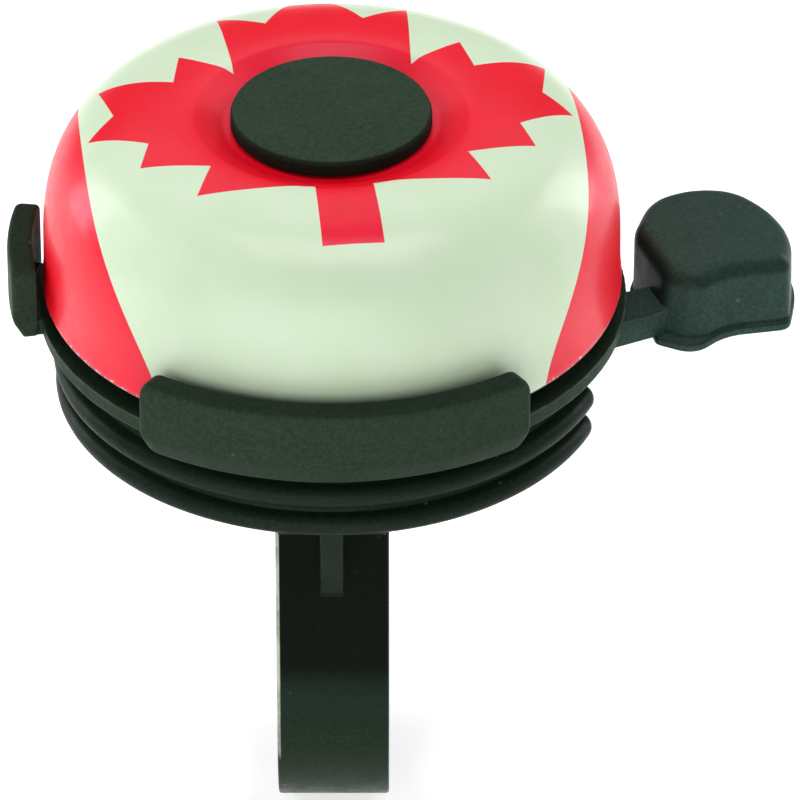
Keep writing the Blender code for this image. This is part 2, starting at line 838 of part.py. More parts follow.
def dome_hardware():
    rod("centre_post", POST_R, BORE_FLOOR + 0.3, POST_TOP, STEEL, count=28)
    tube = (CARRIER_Z[1] + 1.2, DIMPLE_Z - DOME_WALL - GAP)
    washer("spacer_tube", POST_R + 0.2, 3.6, *tube, STEEL)
    washer("dome_washer", POST_R + 0.15, 5.2, DIMPLE_Z + GAP, DIMPLE_Z + 0.8, STEEL)
    nut = [hexagon((0, 0), NUT_FLATS), circle((0, 0), POST_R + 0.1, 24)]
    plate("dome_nut", nut, DIMPLE_Z + 1.1, DIMPLE_Z + 2.7, STEEL)


clear_scene()
BELL = new_collection("bicycle_bell")
CUTTERS = new_collection("cutters")
CUTTERS.hide_render = True
base_housing()
shade_round(guard_ring(), dome(), dome_cap())
for screw_key in GUARD_SCREW_ANGLES:
    guard_screw(screw_key)
clamp_strap()
clamp_screw()
clamp_hardware()
thumb_lever()
idler_gear()
rotor_pinion()
rotor_carrier()
for striker_key in STRIKER_ANGLES:
    striker(striker_key)
return_spring()
train_hardware()
dome_hardware()
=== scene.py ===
"""The bicycle bell's looks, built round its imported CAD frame.

Lengths are millimetres until a mesh, a light or the camera is made, and metres from there on.
Heights from the rim count from the dome's lower edge, as in the CAD.
"""

import math
import random

import bmesh
import bpy
from mathutils import Matrix, Vector


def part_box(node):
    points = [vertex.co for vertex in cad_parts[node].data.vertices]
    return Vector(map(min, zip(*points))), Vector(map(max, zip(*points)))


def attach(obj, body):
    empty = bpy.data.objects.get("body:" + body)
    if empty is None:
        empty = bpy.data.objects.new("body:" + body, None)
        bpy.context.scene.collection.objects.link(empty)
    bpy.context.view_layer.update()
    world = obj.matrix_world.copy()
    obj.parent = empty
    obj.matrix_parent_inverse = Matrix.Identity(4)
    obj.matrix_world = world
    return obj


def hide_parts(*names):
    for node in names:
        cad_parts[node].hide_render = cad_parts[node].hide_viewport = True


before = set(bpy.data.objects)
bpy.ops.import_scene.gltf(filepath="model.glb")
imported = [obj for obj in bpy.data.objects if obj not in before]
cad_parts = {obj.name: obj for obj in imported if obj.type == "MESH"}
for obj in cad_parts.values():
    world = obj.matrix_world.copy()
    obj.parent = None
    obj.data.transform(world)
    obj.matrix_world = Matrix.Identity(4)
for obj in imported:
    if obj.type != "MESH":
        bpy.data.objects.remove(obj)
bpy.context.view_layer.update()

MM = 0.001  # metres
TURN = 2 * math.pi


def box_mm(node):
    return [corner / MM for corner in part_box(node)]


RIM = box_mm("dome")[0].z
STRAP_BOTTOM = box_mm("clamp_strap")[0].z
NUT_LOW, NUT_HIGH = box_mm("clamp_nut")
CAP_LOW, CAP_HIGH = box_mm("dome_cap")

# Camera: its angle above the rim's plane, its distance from the rim's centre, the scale there, and
# where that centre falls in the frame
VIEW_ELEVATION = math.radians(34.3)
VIEW_DISTANCE = 850.0
PIXELS_PER_MM = 9.585
FRAME_PIXELS = 800
CENTRE_PIXEL = (332.2, 275.1)
SENSOR_MM = 36

# Where the strap's front face stands, and half its width
STRAP_FACE_Y = -18.4
STRAP_HALF = 5.9


# Points and outlines


def polar(radius, angle, centre=(0, 0)):
    return (centre[0] + radius * math.cos(angle), centre[1] + radius * math.sin(angle))


def steps(start, end, count):
    return [start + (end - start) * i / (count - 1) for i in range(count)]


def arc(radius, start, end, count, centre=(0, 0)):
    return [polar(radius, angle, centre) for angle in steps(start, end, count)]


def circle(radius, count, centre=(0, 0)):
    return [polar(radius, TURN * i / count, centre) for i in range(count)]


def rounded(corners, count, closed=True):
    """A line from (x, y, radius) corners, each turned into a curve of count points.

    A corner with radius 0 stays sharp, and so do the ends of an open line.
    """
    points = []
    for i, (x, y, radius) in enumerate(corners):
        corner = Vector((x, y))
        if radius == 0 or (not closed and i in (0, len(corners) - 1)):
            points.append((x, y))
            continue
        before = Vector(corners[i - 1][:2]) - corner
        after = Vector(corners[(i + 1) % len(corners)][:2]) - corner
        half = before.angle(after) / 2
        reach = min(radius / math.tan(half), 0.48 * before.length, 0.48 * after.length)
        start = corner + before.normalized() * reach
        end = corner + after.normalized() * reach
        for t in steps(0, 1, count):
            points.append(tuple(start.lerp(corner, t).lerp(corner.lerp(end, t), t)))
    return points


def inset(corners, distance):
    """(x, y, radius) corners of an anticlockwise outline, with every side moved in by distance."""
    moved = []
    for i, (x, y, radius) in enumerate(corners):
        corner = Vector((x, y))
        before = (corner - Vector(corners[i - 1][:2])).normalized()
        after = (Vector(corners[(i + 1) % len(corners)][:2]) - corner).normalized()
        turn = before.cross(after)
        inward = (after - before).normalized() if abs(turn) > 1e-6 else Vector((-after.y, after.x))
        if turn < 0:
            inward = -inward
        reach = distance / inward.dot(Vector((-after.y, after.x)))
        place = corner + inward * reach
        kept = radius - distance if turn > 0 else radius + distance
        moved.append((place.x, place.y, max(0.12, kept)))
    return moved


# Meshes


def placed(name, data):
    """An object in the scene from its data."""
    obj = bpy.data.objects.new(name, data)
    bpy.context.scene.collection.objects.link(obj)
    return obj


def put(name, verts, faces):
    """A mesh object from millimetre points."""
    data = bpy.data.meshes.new(name)
    data.from_pydata([(x * MM, y * MM, z * MM) for x, y, z in verts], [], faces)
    mesh = bmesh.new()
    mesh.from_mesh(data)
    bmesh.ops.remove_doubles(mesh, verts=mesh.verts, dist=2e-7)
    bmesh.ops.dissolve_degenerate(mesh, dist=1e-7, edges=mesh.edges)
    bmesh.ops.recalc_face_normals(mesh, faces=mesh.faces)
    mesh.to_mesh(data)
    mesh.free()
    return placed(name, data)


def sharpen(data, degrees):
    """Smooth shading, but for edges bent more than this."""
    data.shade_smooth()
    data.set_sharp_from_angle(angle=math.radians(degrees))


def skin(rings, closed=True, closed_path=False):
    """Vertices and faces through rings with equally many points.

    closed joins each ring's last point to its first. closed_path joins the last ring to the first,
    and otherwise one face closes each end.
    """
    count = len(rings[0])
    verts = [point for ring in rings for point in ring]
    faces = []
    for i in range(len(rings) if closed_path else len(rings) - 1):
        a, b = i * count, (i + 1) % len(rings) * count
        for j in range(count if closed else count - 1):
            k = (j + 1) % count
            faces.append((a + j, a + k, b + k, b + j))
    if not closed_path:
        faces.append(tuple(range(count))[::-1])
        faces.append(tuple(range((len(rings) - 1) * count, len(rings) * count)))
    return verts, faces


def turned(profile, angle):
    """The (radius, z) points of a section, stood at this angle round the bell's axis."""
    c, s = math.cos(angle), math.sin(angle)
    return [(r * c, r * s, z) for r, z in profile]


def lifted(profile):
    """(radius, z) points with their z counted from the rim, as (radius, z) in the bell's frame."""
    return [(r, RIM + z) for r, z in profile]


def evaluated_mesh(obj):
    """A new mesh of an object with its modifiers applied."""
    graph = bpy.context.evaluated_depsgraph_get()
    return bpy.data.meshes.new_from_object(obj.evaluated_get(graph))


def extruded(name, outlines, low, high, stand=None, soft=None):
    """An outline with holes, extruded from low to high and stood up by the matrix stand.

    soft rounds its edges: (width, segments, the least bend that is rounded, in degrees).
    """
    curve = bpy.data.curves.new(name, "CURVE")
    curve.dimensions = "2D"
    curve.fill_mode = "BOTH"
    curve.extrude = (high - low) / 2 * MM
    for outline in outlines:
        spline = curve.splines.new("POLY")
        spline.points.add(len(outline) - 1)
        for point, (x, y) in zip(spline.points, outline):
            point.co = (x * MM, y * MM, 0, 1)
        spline.use_cyclic_u = True
    flat = placed(name, curve)
    data = evaluated_mesh(flat)
    bpy.data.objects.remove(flat)
    bpy.data.curves.remove(curve)
    data.name = name
    data.transform(Matrix.Translation((0, 0, (low + high) / 2 * MM)))
    if stand:
        data.transform(stand)
    mesh = bmesh.new()
    mesh.from_mesh(data)
    bmesh.ops.remove_doubles(mesh, verts=mesh.verts, dist=1e-6)
    bmesh.ops.dissolve_limit(
        mesh, angle_limit=math.radians(0.5), verts=mesh.verts, edges=mesh.edges
    )
    bmesh.ops.recalc_face_normals(mesh, faces=mesh.faces)
    mesh.to_mesh(data)
    mesh.free()
    obj = placed(name, data)
    if soft:
        width, segments, least = soft
        bevel = obj.modifiers.new("soft_edges", "BEVEL")
        bevel.width = width * MM
        bevel.segments = segments
        bevel.limit_method = "ANGLE"
        bevel.angle_limit = math.radians(least)
    return obj


def bake(obj):
    """Applies an object's modifiers."""
    bpy.context.view_layer.update()
    made = evaluated_mesh(obj)
    obj.modifiers.clear()
    obj.data = made


def cut(obj, tool):
    """Takes the tool's shape away from the object and discards the tool."""
    modifier = obj.modifiers.new("difference", "BOOLEAN")
    modifier.solver = "EXACT"
    modifier.operation = "DIFFERENCE"
    modifier.object = tool
    bake(obj)
    bpy.data.objects.remove(tool)


def joined(name, objects):
    """One object from several, each with its own surface."""
    mesh = bmesh.new()
    for obj in objects:
        bake(obj)
        mesh.from_mesh(obj.data)
        bpy.data.objects.remove(obj)
    data = bpy.data.meshes.new(name)
    mesh.to_mesh(data)
    mesh.free()
    return placed(name, data)


# Materials


class Shader:
    """A node material round one Principled shader, with coordinates in the bell's millimetres."""

    SOCKETS = {
        "color": "Base Color",
        "rough": "Roughness",
        "metal": "Metallic",
        "coat": "Coat Weight",
        "coat_rough": "Coat Roughness",
        "specular": "Specular IOR Level",
        "tint": "Specular Tint",
        "subsurface": "Subsurface Weight",
        "subsurface_scale": "Subsurface Scale",
        "glow": "Emission Color",
        "glow_strength": "Emission Strength",
    }

    def __init__(self, name):
        self.material = bpy.data.materials.new(name)
        self.material.use_nodes = True
        self.tree = self.material.node_tree
        self.bsdf = self.tree.nodes["Principled BSDF"]
        self.relief = None
        place = self.node("ShaderNodeTexCoord").outputs["Object"]
        self.mm = self.vector("SCALE", {0: place, "Scale": 1 / MM})

    def feed(self, socket, value):
        if hasattr(value, "is_output"):
            self.tree.links.new(value, socket)
        else:
            socket.default_value = value

    def set(self, **values):
        for key, value in values.items():
            if isinstance(value, tuple):
                value = (*value, 1)
            self.feed(self.bsdf.inputs[self.SOCKETS[key]], value)

    def node(self, kind, inputs=(), **settings):
        """A new node with these settings, and inputs given by name or number."""
        made = self.tree.nodes.new(kind)
        for key, value in settings.items():
            setattr(made, key, value)
        for key, value in dict(inputs).items():
            self.feed(made.inputs[key], value)
        return made

    def vector(self, operation, inputs, output=0):
        return self.node("ShaderNodeVectorMath", inputs, operation=operation).outputs[output]

    def math(self, operation, *values):
        return self.node("ShaderNodeMath", enumerate(values), operation=operation).outputs[0]

    def times(self, a, b):
        return self.math("MULTIPLY", a, b)

    def ramp(self, value, low, high, out_low=0.0, out_high=1.0, smooth=True):
        ends = {"From Min": low, "From Max": high, "To Min": out_low, "To Max": out_high}
        kind = "SMOOTHSTEP" if smooth else "LINEAR"
        made = self.node("ShaderNodeMapRange", {"Value": value, **ends}, interpolation_type=kind)
        return made.outputs[0]

    def mix(self, factor, a, b):
        a, b = ((*value, 1) if isinstance(value, tuple) else value for value in (a, b))
        return self.node("ShaderNodeMix", {0: factor, 6: a, 7: b}, data_type="RGBA").outputs[2]

    def mix_value(self, factor, a, b):
        return self.node("ShaderNodeMix", {0: factor, 2: a, 3: b}, data_type="FLOAT").outputs[0]

    def scaled(self, color, share):
        """A colour made lighter or darker."""
        return self.vector("SCALE", {0: color, "Scale": share})

    def noise(self, scale, detail, rough=0.55, stretch=(1, 1, 1), distortion=0.0):
        look = {"Scale": scale, "Detail": detail, "Roughness": rough, "Distortion": distortion}
        place = self.vector("MULTIPLY", {0: self.mm, 1: stretch})
        return self.node("ShaderNodeTexNoise", {"Vector": place, **look}).outputs["Fac"]

    def voronoi(self, scale):
        inputs = {"Vector": self.mm, "Scale": scale}
        return self.node("ShaderNodeTexVoronoi", inputs).outputs["Distance"]

    def axis(self, source, number):
        return self.node("ShaderNodeSeparateXYZ", {0: source}).outputs[number]

    def part_of(self, number):
        """One coordinate in millimetres: 0 is x, 1 is y and 2 is z."""
        return self.axis(self.mm, number)

    def faces(self, number):
        """How far the surface looks along an axis of its own body, from -1 to 1."""
        return self.axis(self.node("ShaderNodeTexCoord").outputs["Normal"], number)

    def edges(self, radius):
        """0 on flat faces and 1 on edges sharper than radius."""
        soft = self.node("ShaderNodeBevel", {"Radius": radius * MM}, samples=4).outputs[0]
        hard = self.node("ShaderNodeNewGeometry").outputs["Normal"]
        dot = self.vector("DOT_PRODUCT", {0: soft, 1: hard}, "Value")
        return self.ramp(self.math("SUBTRACT", 1.0, dot), 0.02, 0.25)

    def bump(self, height, strength, distance):
        """Relief of this many millimetres, on top of any relief that is there already."""
        inputs = {"Strength": strength, "Distance": distance * MM, "Height": height}
        if self.relief:
            inputs["Normal"] = self.relief
        self.relief = self.node("ShaderNodeBump", inputs).outputs[0]
        self.feed(self.bsdf.inputs["Normal"], self.relief)


# Tones as linear RGB. A pair is what cloudy patches vary between.
PLASTIC_SHEEN = (0.8, 1.0, 0.88)
DUST = (0.3, 0.3, 0.27)
# The tone of the painted highlight down the strap's left edge
STRAP_EDGE_HIGHLIGHT = (0.5, 0.54, 0.44)
DRAWN_LINES = (0.014, 0.032, 0.026)
CREAM = ((0.65, 0.80, 0.57), (0.69, 0.835, 0.62))
RED = ((0.86, 0.002, 0.010), (0.91, 0.004, 0.018))
RED_SHEEN = (0.9, 0.4, 1)
BARE_RIM = (0.62, 0.62, 0.6)
DRAWN_STEEL = ((0.5, 0.49, 0.46), (0.36, 0.34, 0.31))
NYLON = ((0.6, 0.58, 0.48), (0.7, 0.68, 0.6))


def strap_painted_light_and_marks(s, color):
    """The strap's looks by height: painted shade darkens it towards the top, under the base, and it
    is painted paler low on the hoop.

    Lines drawn by the mould show where it starts to bend, and a painted highlight runs down its
    left edge.
    """
    height, across, along = s.part_of(2), s.part_of(0), s.part_of(1)
    # Painted shade: darker towards the top under the base, darkest above the hoop's bend, and
    # painted lighter low on the hoop.
    painted_light_by_height = s.ramp(height, -34, 10, 1.2, 0.5, smooth=False)
    painted_shade_at_top = s.times(painted_light_by_height, s.ramp(height, -14, -8, 1, 0.22))
    # The rib up the front is kept out of most of the painted shade.
    rib = s.ramp(along, STRAP_FACE_Y - 0.5, STRAP_FACE_Y - 0.15, 0.45, 0)
    color = s.scaled(color, s.math("MAXIMUM", painted_shade_at_top, rib))
    drawn = s.ramp(s.noise(1.0, 2, 0.5, (0.05, 0.4, 5.0)), 0.3, 0.6, 0.35, 1)
    band = s.times(s.ramp(height, -16.5, -12.5), s.ramp(height, -8, -12))
    color = s.mix(s.times(drawn, s.times(band, 0.45)), color, DRAWN_LINES)
    # A painted highlight down the front of the strap's left edge, broken up by noise.
    uneven = s.ramp(s.noise(0.5, 3, 0.6, (1, 1, 0.4)), 0.3, 0.6, 0.35, 1)
    flash = s.times(s.ramp(across, 0.42 - STRAP_HALF, 0.3 - STRAP_HALF), uneven)
    front = s.ramp(along, STRAP_FACE_Y + 0.9, STRAP_FACE_Y + 0.3)
    return s.mix(s.times(flash, front), color, STRAP_EDGE_HIGHLIGHT)


def painted_shade_on_dome_side(s, color):
    """Painted shade: the paddle's side towards the dome is made darker."""
    return s.scaled(color, s.ramp(s.faces(0), -0.9, -0.3, 0.3, 1))


def black_plastic(
    name, tone, edge_wear_and_highlight, rough=0.38, grain=1.0, gloss=0.07, pale=0.03, painted_light_by_facing=(), extra=None
):
    """Moulded plastic: fine grain, faint flow marks, dust, and a paler line along its edges that is
    partly wear and partly painted highlight.

    A share sets how much of the paler edge line shows, and pale is added to its tone. The facing
    ramps (low, high, share at low, share at high) paint light and shade: how the tone goes with how
    far a face looks up, from -1 to 1. extra takes the shader and its tone, and returns the tone
    changed.
    """
    s = Shader(name)

    def shade(factor, added=0.0):
        return tuple(v * factor + added for v in tone)

    flow = s.noise(0.09, 3, 0.6, (1, 1, 2.2), 0.6)
    mottle = s.noise(2.4, 3, 0.7)
    color = s.mix(s.ramp(flow, 0.3, 0.7), shade(0.9), shade(1.1))
    color = s.mix(s.ramp(mottle, 0.35, 0.68, 0, 0.5), color, shade(1.8, 0.002))
    specks = s.ramp(s.voronoi(0.45), 0.13, 0.06)
    dust = s.times(s.ramp(s.noise(0.28, 2), 0.5, 0.6), specks)
    color = s.mix(s.times(dust, 0.35), color, DUST)
    # Painted light and shade, by how far each face looks up.
    for ramp in painted_light_by_facing:
        color = s.scaled(color, s.ramp(s.faces(2), *ramp))
    if extra:
        color = extra(s, color)
    # The paler edge line: partly wear, partly a painted highlight on the rounded edges.
    worn = s.times(s.edges(0.35), s.ramp(s.noise(0.8, 3), 0.35, 0.65, 0.3, 1.0))
    color = s.mix(s.times(worn, edge_wear_and_highlight), color, shade(2.6, pale))
    s.set(color=color, specular=gloss, tint=PLASTIC_SHEEN)
    roughness = s.ramp(s.noise(0.5, 4, 0.65), 0.3, 0.7, rough - 0.06, rough + 0.08)
    s.set(rough=s.math("SUBTRACT", roughness, s.times(worn, 0.12)))
    s.bump(mottle, 0.5 * grain, 0.02)
    s.bump(s.noise(0.35, 2), 0.25, 0.05)
    return s.material


def steel(name, tone, rough, lines=(0.2, 0.2, 6.0), scale=3.0, stained=0.48):
    """Metal with drawn or machined lines, a little staining and painted highlights along its edges.
    """
    s = Shader(name)
    stain_tone = tuple(v * 0.6 for v in tone)
    steel_edge_highlight = tuple(min(1, v * 1.35) for v in tone)
    drawn = s.noise(scale, 3, 0.6, lines)
    stain = s.noise(0.3, 4, 0.6)
    color = s.mix(s.ramp(stain, 0.35, 0.75, 0, stained), tone, stain_tone)
    # Painted highlights along the edges.
    color = s.mix(s.times(s.edges(0.2), 0.5), color, steel_edge_highlight)
    s.set(color=color, metal=1.0, rough=s.ramp(drawn, 0.3, 0.7, rough - 0.08, rough + 0.12))
    s.bump(drawn, 0.35, 0.012)
    return s.material


def nylon(name):
    s = Shader(name)
    color = s.mix(s.ramp(s.noise(0.25, 3), 0.3, 0.7), *NYLON)
    s.set(color=color, rough=s.ramp(s.noise(1.5, 3), 0.3, 0.7, 0.4, 0.56))
    s.set(subsurface=0.25, subsurface_scale=0.001)
    s.bump(s.noise(5, 2), 0.3, 0.015)
    return s.material


# The print: a plain thirteen-point leaf and two side bands, laid out flat round the dome's axis.
# The leaf is alike on both sides, so its convex pieces are given for its right half.
LEAF_NOTCHES = ((9.4, 9.5), (15.9, 7.8), (22.6, 3.2), (19.4, -3.6), (13.4, -8.9), (3.0, -13.4))
LEAF_TIPS = ((14.9, 12.9), (24.0, 10.2), (25.8, 0.3), (20.6, -7.6), (15.2, -13.9))
LEAF_PIECES = (
    ((0, 12), (0, 29), (5.2, 18.7), (8.58, 12)),
    ((0, 8), (0, 15.5), (10.2, 21.8), (9.3, 8)),
    ((0, -13.4), (0, 9.5), *LEAF_NOTCHES),
    ((0, -23.4), (0, -12.5), (3.0, -12.5), (3.2, -23.4)),
)
# The bands' inner edges: half the cream's width, and how much it widens away from the middle
BAND_HALF = 26.6
BAND_SPREAD = 0.0022
# Millimetres across the whole UV map
PRINT_SCALE = 100.0
# Overlap of the leaf's pieces
SEAM = 0.3
INK_EDGE = 0.035
# The print is laid out by plain radius up to here, and then by the way along the dome's surface
PRINT_FLAT_R = 13.8
PRINT_TURN = math.radians(6)


def leaf_pieces():
    """Each convex piece of the leaf as its sides, (normal x, normal y, offset), going clockwise."""
    pieces = []
    for corners in LEAF_PIECES:
        sides = [edge_side(corners[i - 1], corner) for i, corner in enumerate(corners)]
        # The second side lies on the leaf's middle line, where the other half carries on.
        pieces.append(sides[2:] + sides[:1])
    for start, tip, end in zip(LEAF_NOTCHES, LEAF_TIPS, LEAF_NOTCHES[1:]):
        sides = [edge_side(start, tip), edge_side(tip, end), edge_side(end, start, SEAM)]
        pieces.append(sides)
    return pieces


def edge_side(start, end, slack=0):
    """The side of a clockwise outline from start to end, let out by slack."""
    along = (Vector(end) - Vector(start)).normalized()
    normal = Vector((-along.y, along.x))
    return (normal.x, normal.y, normal.dot(Vector(start)) + slack)


def ink_distance(s):
    """How far outside the red print a point of the print's UV map is, in millimetres."""
    uv = s.node("ShaderNodeUVMap", uv_map="print").outputs[0]
    scale, shift = (PRINT_SCALE, PRINT_SCALE, 0), (-PRINT_SCALE / 2, -PRINT_SCALE / 2, 1)
    place = s.vector("MULTIPLY_ADD", {0: uv, 1: scale, 2: shift})
    across, up = s.math("ABSOLUTE", s.axis(place, 0)), s.axis(place, 1)
    right = s.node("ShaderNodeCombineXYZ", {0: across, 1: up, 2: 1}).outputs[0]
    whole = s.math("ADD", s.times(s.times(up, up), BAND_SPREAD), BAND_HALF)
    whole = s.math("SUBTRACT", whole, across)
    for sides in leaf_pieces():
        piece = None
        for x, y, offset in sides:
            found = s.vector("DOT_PRODUCT", {0: right, 1: (x, y, -offset)}, "Value")
            piece = found if piece is None else s.math("MAXIMUM", piece, found)
        whole = s.math("MINIMUM", whole, piece)
    return whole


def dome_paint(name):
    """Printed enamel on steel, worn to bare metal along the rim."""
    s = Shader(name)
    wobble = s.times(s.math("SUBTRACT", s.noise(3.0, 2), 0.5), 0.05)
    ink = s.ramp(s.math("ADD", ink_distance(s), wobble), -INK_EDGE, INK_EDGE, 1, 0)
    cloud = s.noise(0.12, 3, 0.5)
    cream = s.mix(s.ramp(cloud, 0.3, 0.7), *CREAM)
    red = s.mix(s.ramp(cloud, 0.3, 0.7), *RED)
    paint = s.mix(ink, cream, red)
    height = s.part_of(2)
    ragged = s.times(s.ramp(s.noise(1.1, 4, 0.7), 0.42, 0.78), 0.55)
    fine = s.times(s.noise(5.0, 3, 0.7), 0.12)
    above = s.math("SUBTRACT", height, s.math("ADD", ragged, fine))
    bare = s.ramp(above, RIM + 0.10, RIM + 0.16, 1, 0)
    color = s.mix(bare, paint, BARE_RIM)
    s.set(color=color, metal=s.times(bare, 0.9))
    s.set(rough=s.mix_value(bare, s.ramp(s.noise(0.7, 3), 0.3, 0.7, 0.36, 0.44), 0.38))
    s.set(coat=0.22, coat_rough=0.18, specular=0.3, tint=s.mix(ink, (1, 1, 1), RED_SHEEN))
    s.bump(s.noise(1.6, 2, 0.5), 0.25, 0.02)
    s.bump(ink, 0.25, 0.012)
    return s.material


def bare_inside(name):
    """The dome's unpainted inner face: drawn steel with rings from the press."""
    s = Shader(name)
    x, y = s.part_of(0), s.part_of(1)
    radius = s.math("SQRT", s.math("ADD", s.times(x, x), s.times(y, y)))
    place = s.node("ShaderNodeCombineXYZ", {0: radius}).outputs[0]
    wave = s.node("ShaderNodeTexWave", {"Vector": place, "Scale": 1.4, "Distortion": 3.0})
    rings = wave.outputs["Fac"]
    stain = s.ramp(s.noise(0.2, 4), 0.35, 0.75)
    color = s.mix(stain, *DRAWN_STEEL)
    s.set(color=color, metal=1.0, rough=s.ramp(rings, 0, 1, 0.34, 0.46))
    s.bump(rings, 0.2, 0.015)
    return s.material


MATERIALS = {
    "dome": dome_paint("printed_enamel"),
    "inside": bare_inside("drawn_steel"),
    "ring": black_plastic(
        "guard_plastic",
        tone=(0.021, 0.0365, 0.022),
        rough=0.46,
        grain=1.2,
        # A strong paler line on the bumpers' edges, mostly painted highlight
        edge_wear_and_highlight=0.85,
        gloss=0.035,
        pale=0.08,
        # Painted shade on faces that look down, and on the tops beside the dome
        painted_light_by_facing=((-0.5, 0, 0.7, 1), (0.3, 0.95, 1, 0.62)),
    ),
    "base": black_plastic(
        "base_plastic",
        tone=(0.0100, 0.0188, 0.0120),
        edge_wear_and_highlight=0.4,
        # Painted shade on faces that look down
        painted_light_by_facing=((-0.6, 0.2, 0.5, 1),),
    ),
    "lever": black_plastic(
        "lever_plastic",
        tone=(0.028, 0.056, 0.044),
        edge_wear_and_highlight=0.3,
        # Painted shade on faces half turned up, and a painted lighter top
        painted_light_by_facing=((0.1, 0.42, 1, 0.55), (0.6, 0.94, 1, 1.5)),
        # Painted shade on the paddle's side towards the dome
        extra=painted_shade_on_dome_side,
    ),
    "strap": black_plastic(
        "strap_plastic",
        tone=(0.0130, 0.0235, 0.0135),
        rough=0.30,
        grain=0.6,
        edge_wear_and_highlight=0.3,
        gloss=0.05,
        pale=0.05,
        # Painted shade by height, and a painted highlight down its left edge
        extra=strap_painted_light_and_marks,
    ),
    "cap": black_plastic(
        "cap_plastic",
        tone=(0.026, 0.042, 0.0275),
        rough=0.7,
        grain=2.6,
        edge_wear_and_highlight=0.1,
        gloss=0.05,
        # Painted shade on the cap's side, against its top
        painted_light_by_facing=((0.3, 0.85, 0.3, 1),),
    ),
    "steel": steel("plated_steel", (0.36, 0.365, 0.37), 0.36),
    "dark": steel("pressed_steel", (0.2, 0.2, 0.21), 0.42, lines=(1, 1, 1), scale=1.2, stained=0.8),
    "spring": steel("spring_wire", (0.42, 0.42, 0.43), 0.28, lines=(0.3, 0.3, 5.0), scale=4.0),
    "nylon": nylon("natural_nylon"),
}


def finished(obj, key, sharp):
    """A piece with its modifiers applied and its material, sharp where it bends more than this."""
    if obj.modifiers:
        bake(obj)
    obj.data.materials.clear()
    obj.data.materials.append(MATERIALS[key])
    sharpen(obj.data, sharp)
    return obj


# Dome and cap, with heights from the rim. Above its shoulder the dome's side is a superellipse.

DOME_R = 30.0
DOME_WALL = 0.85
CROWN_R = 15.0
SHOULDER = 4.9
CROWN_Z = 20.0
BOWL_Z = 18.6
WELL_Z = 16.8
BORE_R = 2.4
DOME_POWER = 2.7
DOME_STEPS = 360
CAP_STEPS = 160


def dome_side(offset, count):
    """The dome's side from its crown to its shoulder, moved in by offset, as (radius, z)."""
    across = DOME_R - offset - CROWN_R
    rise = CROWN_Z - offset - SHOULDER
    points = []
    for angle in steps(math.pi / 2, 0, count):
        x = max(0, math.cos(angle)) ** (2 / DOME_POWER)
        y = max(0, math.sin(angle)) ** (2 / DOME_POWER)
        points.append((CROWN_R + across * x, SHOULDER + rise * y))
    return points


def dome_profile():
    """The dome's section as (radius, z): its outside from the bore down, its rim, its inside."""
    dimple = [
        (BORE_R, WELL_Z, 0),
        (6.3, WELL_Z, 0.5),
        (7.2, BOWL_Z, 0.5),
        (11.1, BOWL_Z, 2.0),
        (14.2, 19.93, 1.8),
        (CROWN_R, CROWN_Z, 0),
    ]
    outside = rounded(dimple, 8, closed=False)[:-1]
    outside += dome_side(0, 48)
    outside += [(30.02, 3.6), (30.05, 2.4), (30.12, 1.5), (30.2, 0.8), (30.2, 0.3)]
    rim = [(30.12, 0.08), (29.95, 0.0), (29.55, 0.0), (29.4, 0.08), (29.35, 0.3)]
    inside = dome_side(DOME_WALL, 24)[::-1]
    under = [
        (15.9, CROWN_Z - DOME_WALL - 0.02, 0),
        (14.3, 19.85 - DOME_WALL, 3.0),
        (11.6, BOWL_Z - DOME_WALL, 3.0),
        (8.0, BOWL_Z - DOME_WALL, 0.5),
        (7.1, WELL_Z - DOME_WALL, 0.5),
        (BORE_R, WELL_Z - DOME_WALL, 0),
    ]
    inside += rounded(under, 6, closed=False)[1:]
    return outside, rim, inside


def make_dome():
    """The shell with its painted and bare surfaces, and the UV map that lays the print out flat."""
    outside, rim, inside = dome_profile()
    profile = outside + rim + inside
    rings = [turned(lifted(profile), TURN * i / DOME_STEPS) for i in range(DOME_STEPS)]
    verts, faces = skin(rings, closed_path=True)
    data = bpy.data.meshes.new("dome_shell")
    data.from_pydata([(x * MM, y * MM, z * MM) for x, y, z in verts], [], faces)
    data.materials.append(MATERIALS["dome"])
    data.materials.append(MATERIALS["inside"])
    length = len(profile)
    painted = len(outside) + len(rim) - 1
    flat = [profile[0][0]]
    for (r0, z0), (r1, z1) in zip(profile, profile[1:painted]):
        flat.append(r1 if r1 <= PRINT_FLAT_R else flat[-1] + math.hypot(r1 - r0, z1 - z0))
    uv = data.uv_layers.new(name="print")
    for face in data.polygons:
        j = min(v % length for v in face.vertices)
        if {v % length for v in face.vertices} >= {0, length - 1}:
            j = length - 1
        face.material_index = 0 if j < painted else 1
        for corner, v in zip(face.loop_indices, face.vertices):
            reach = flat[min(v % length, painted - 1)]
            angle = TURN * (v // length) / DOME_STEPS - PRINT_TURN
            uv.data[corner].uv = (
                0.5 + reach * math.cos(angle) / PRINT_SCALE,
                0.5 + reach * math.sin(angle) / PRINT_SCALE,
            )
    mesh = bmesh.new()
    mesh.from_mesh(data)
    bmesh.ops.recalc_face_normals(mesh, faces=mesh.faces)
    mesh.to_mesh(data)
    mesh.free()
    sharpen(data, 60)
    return placed("dome_shell", data)


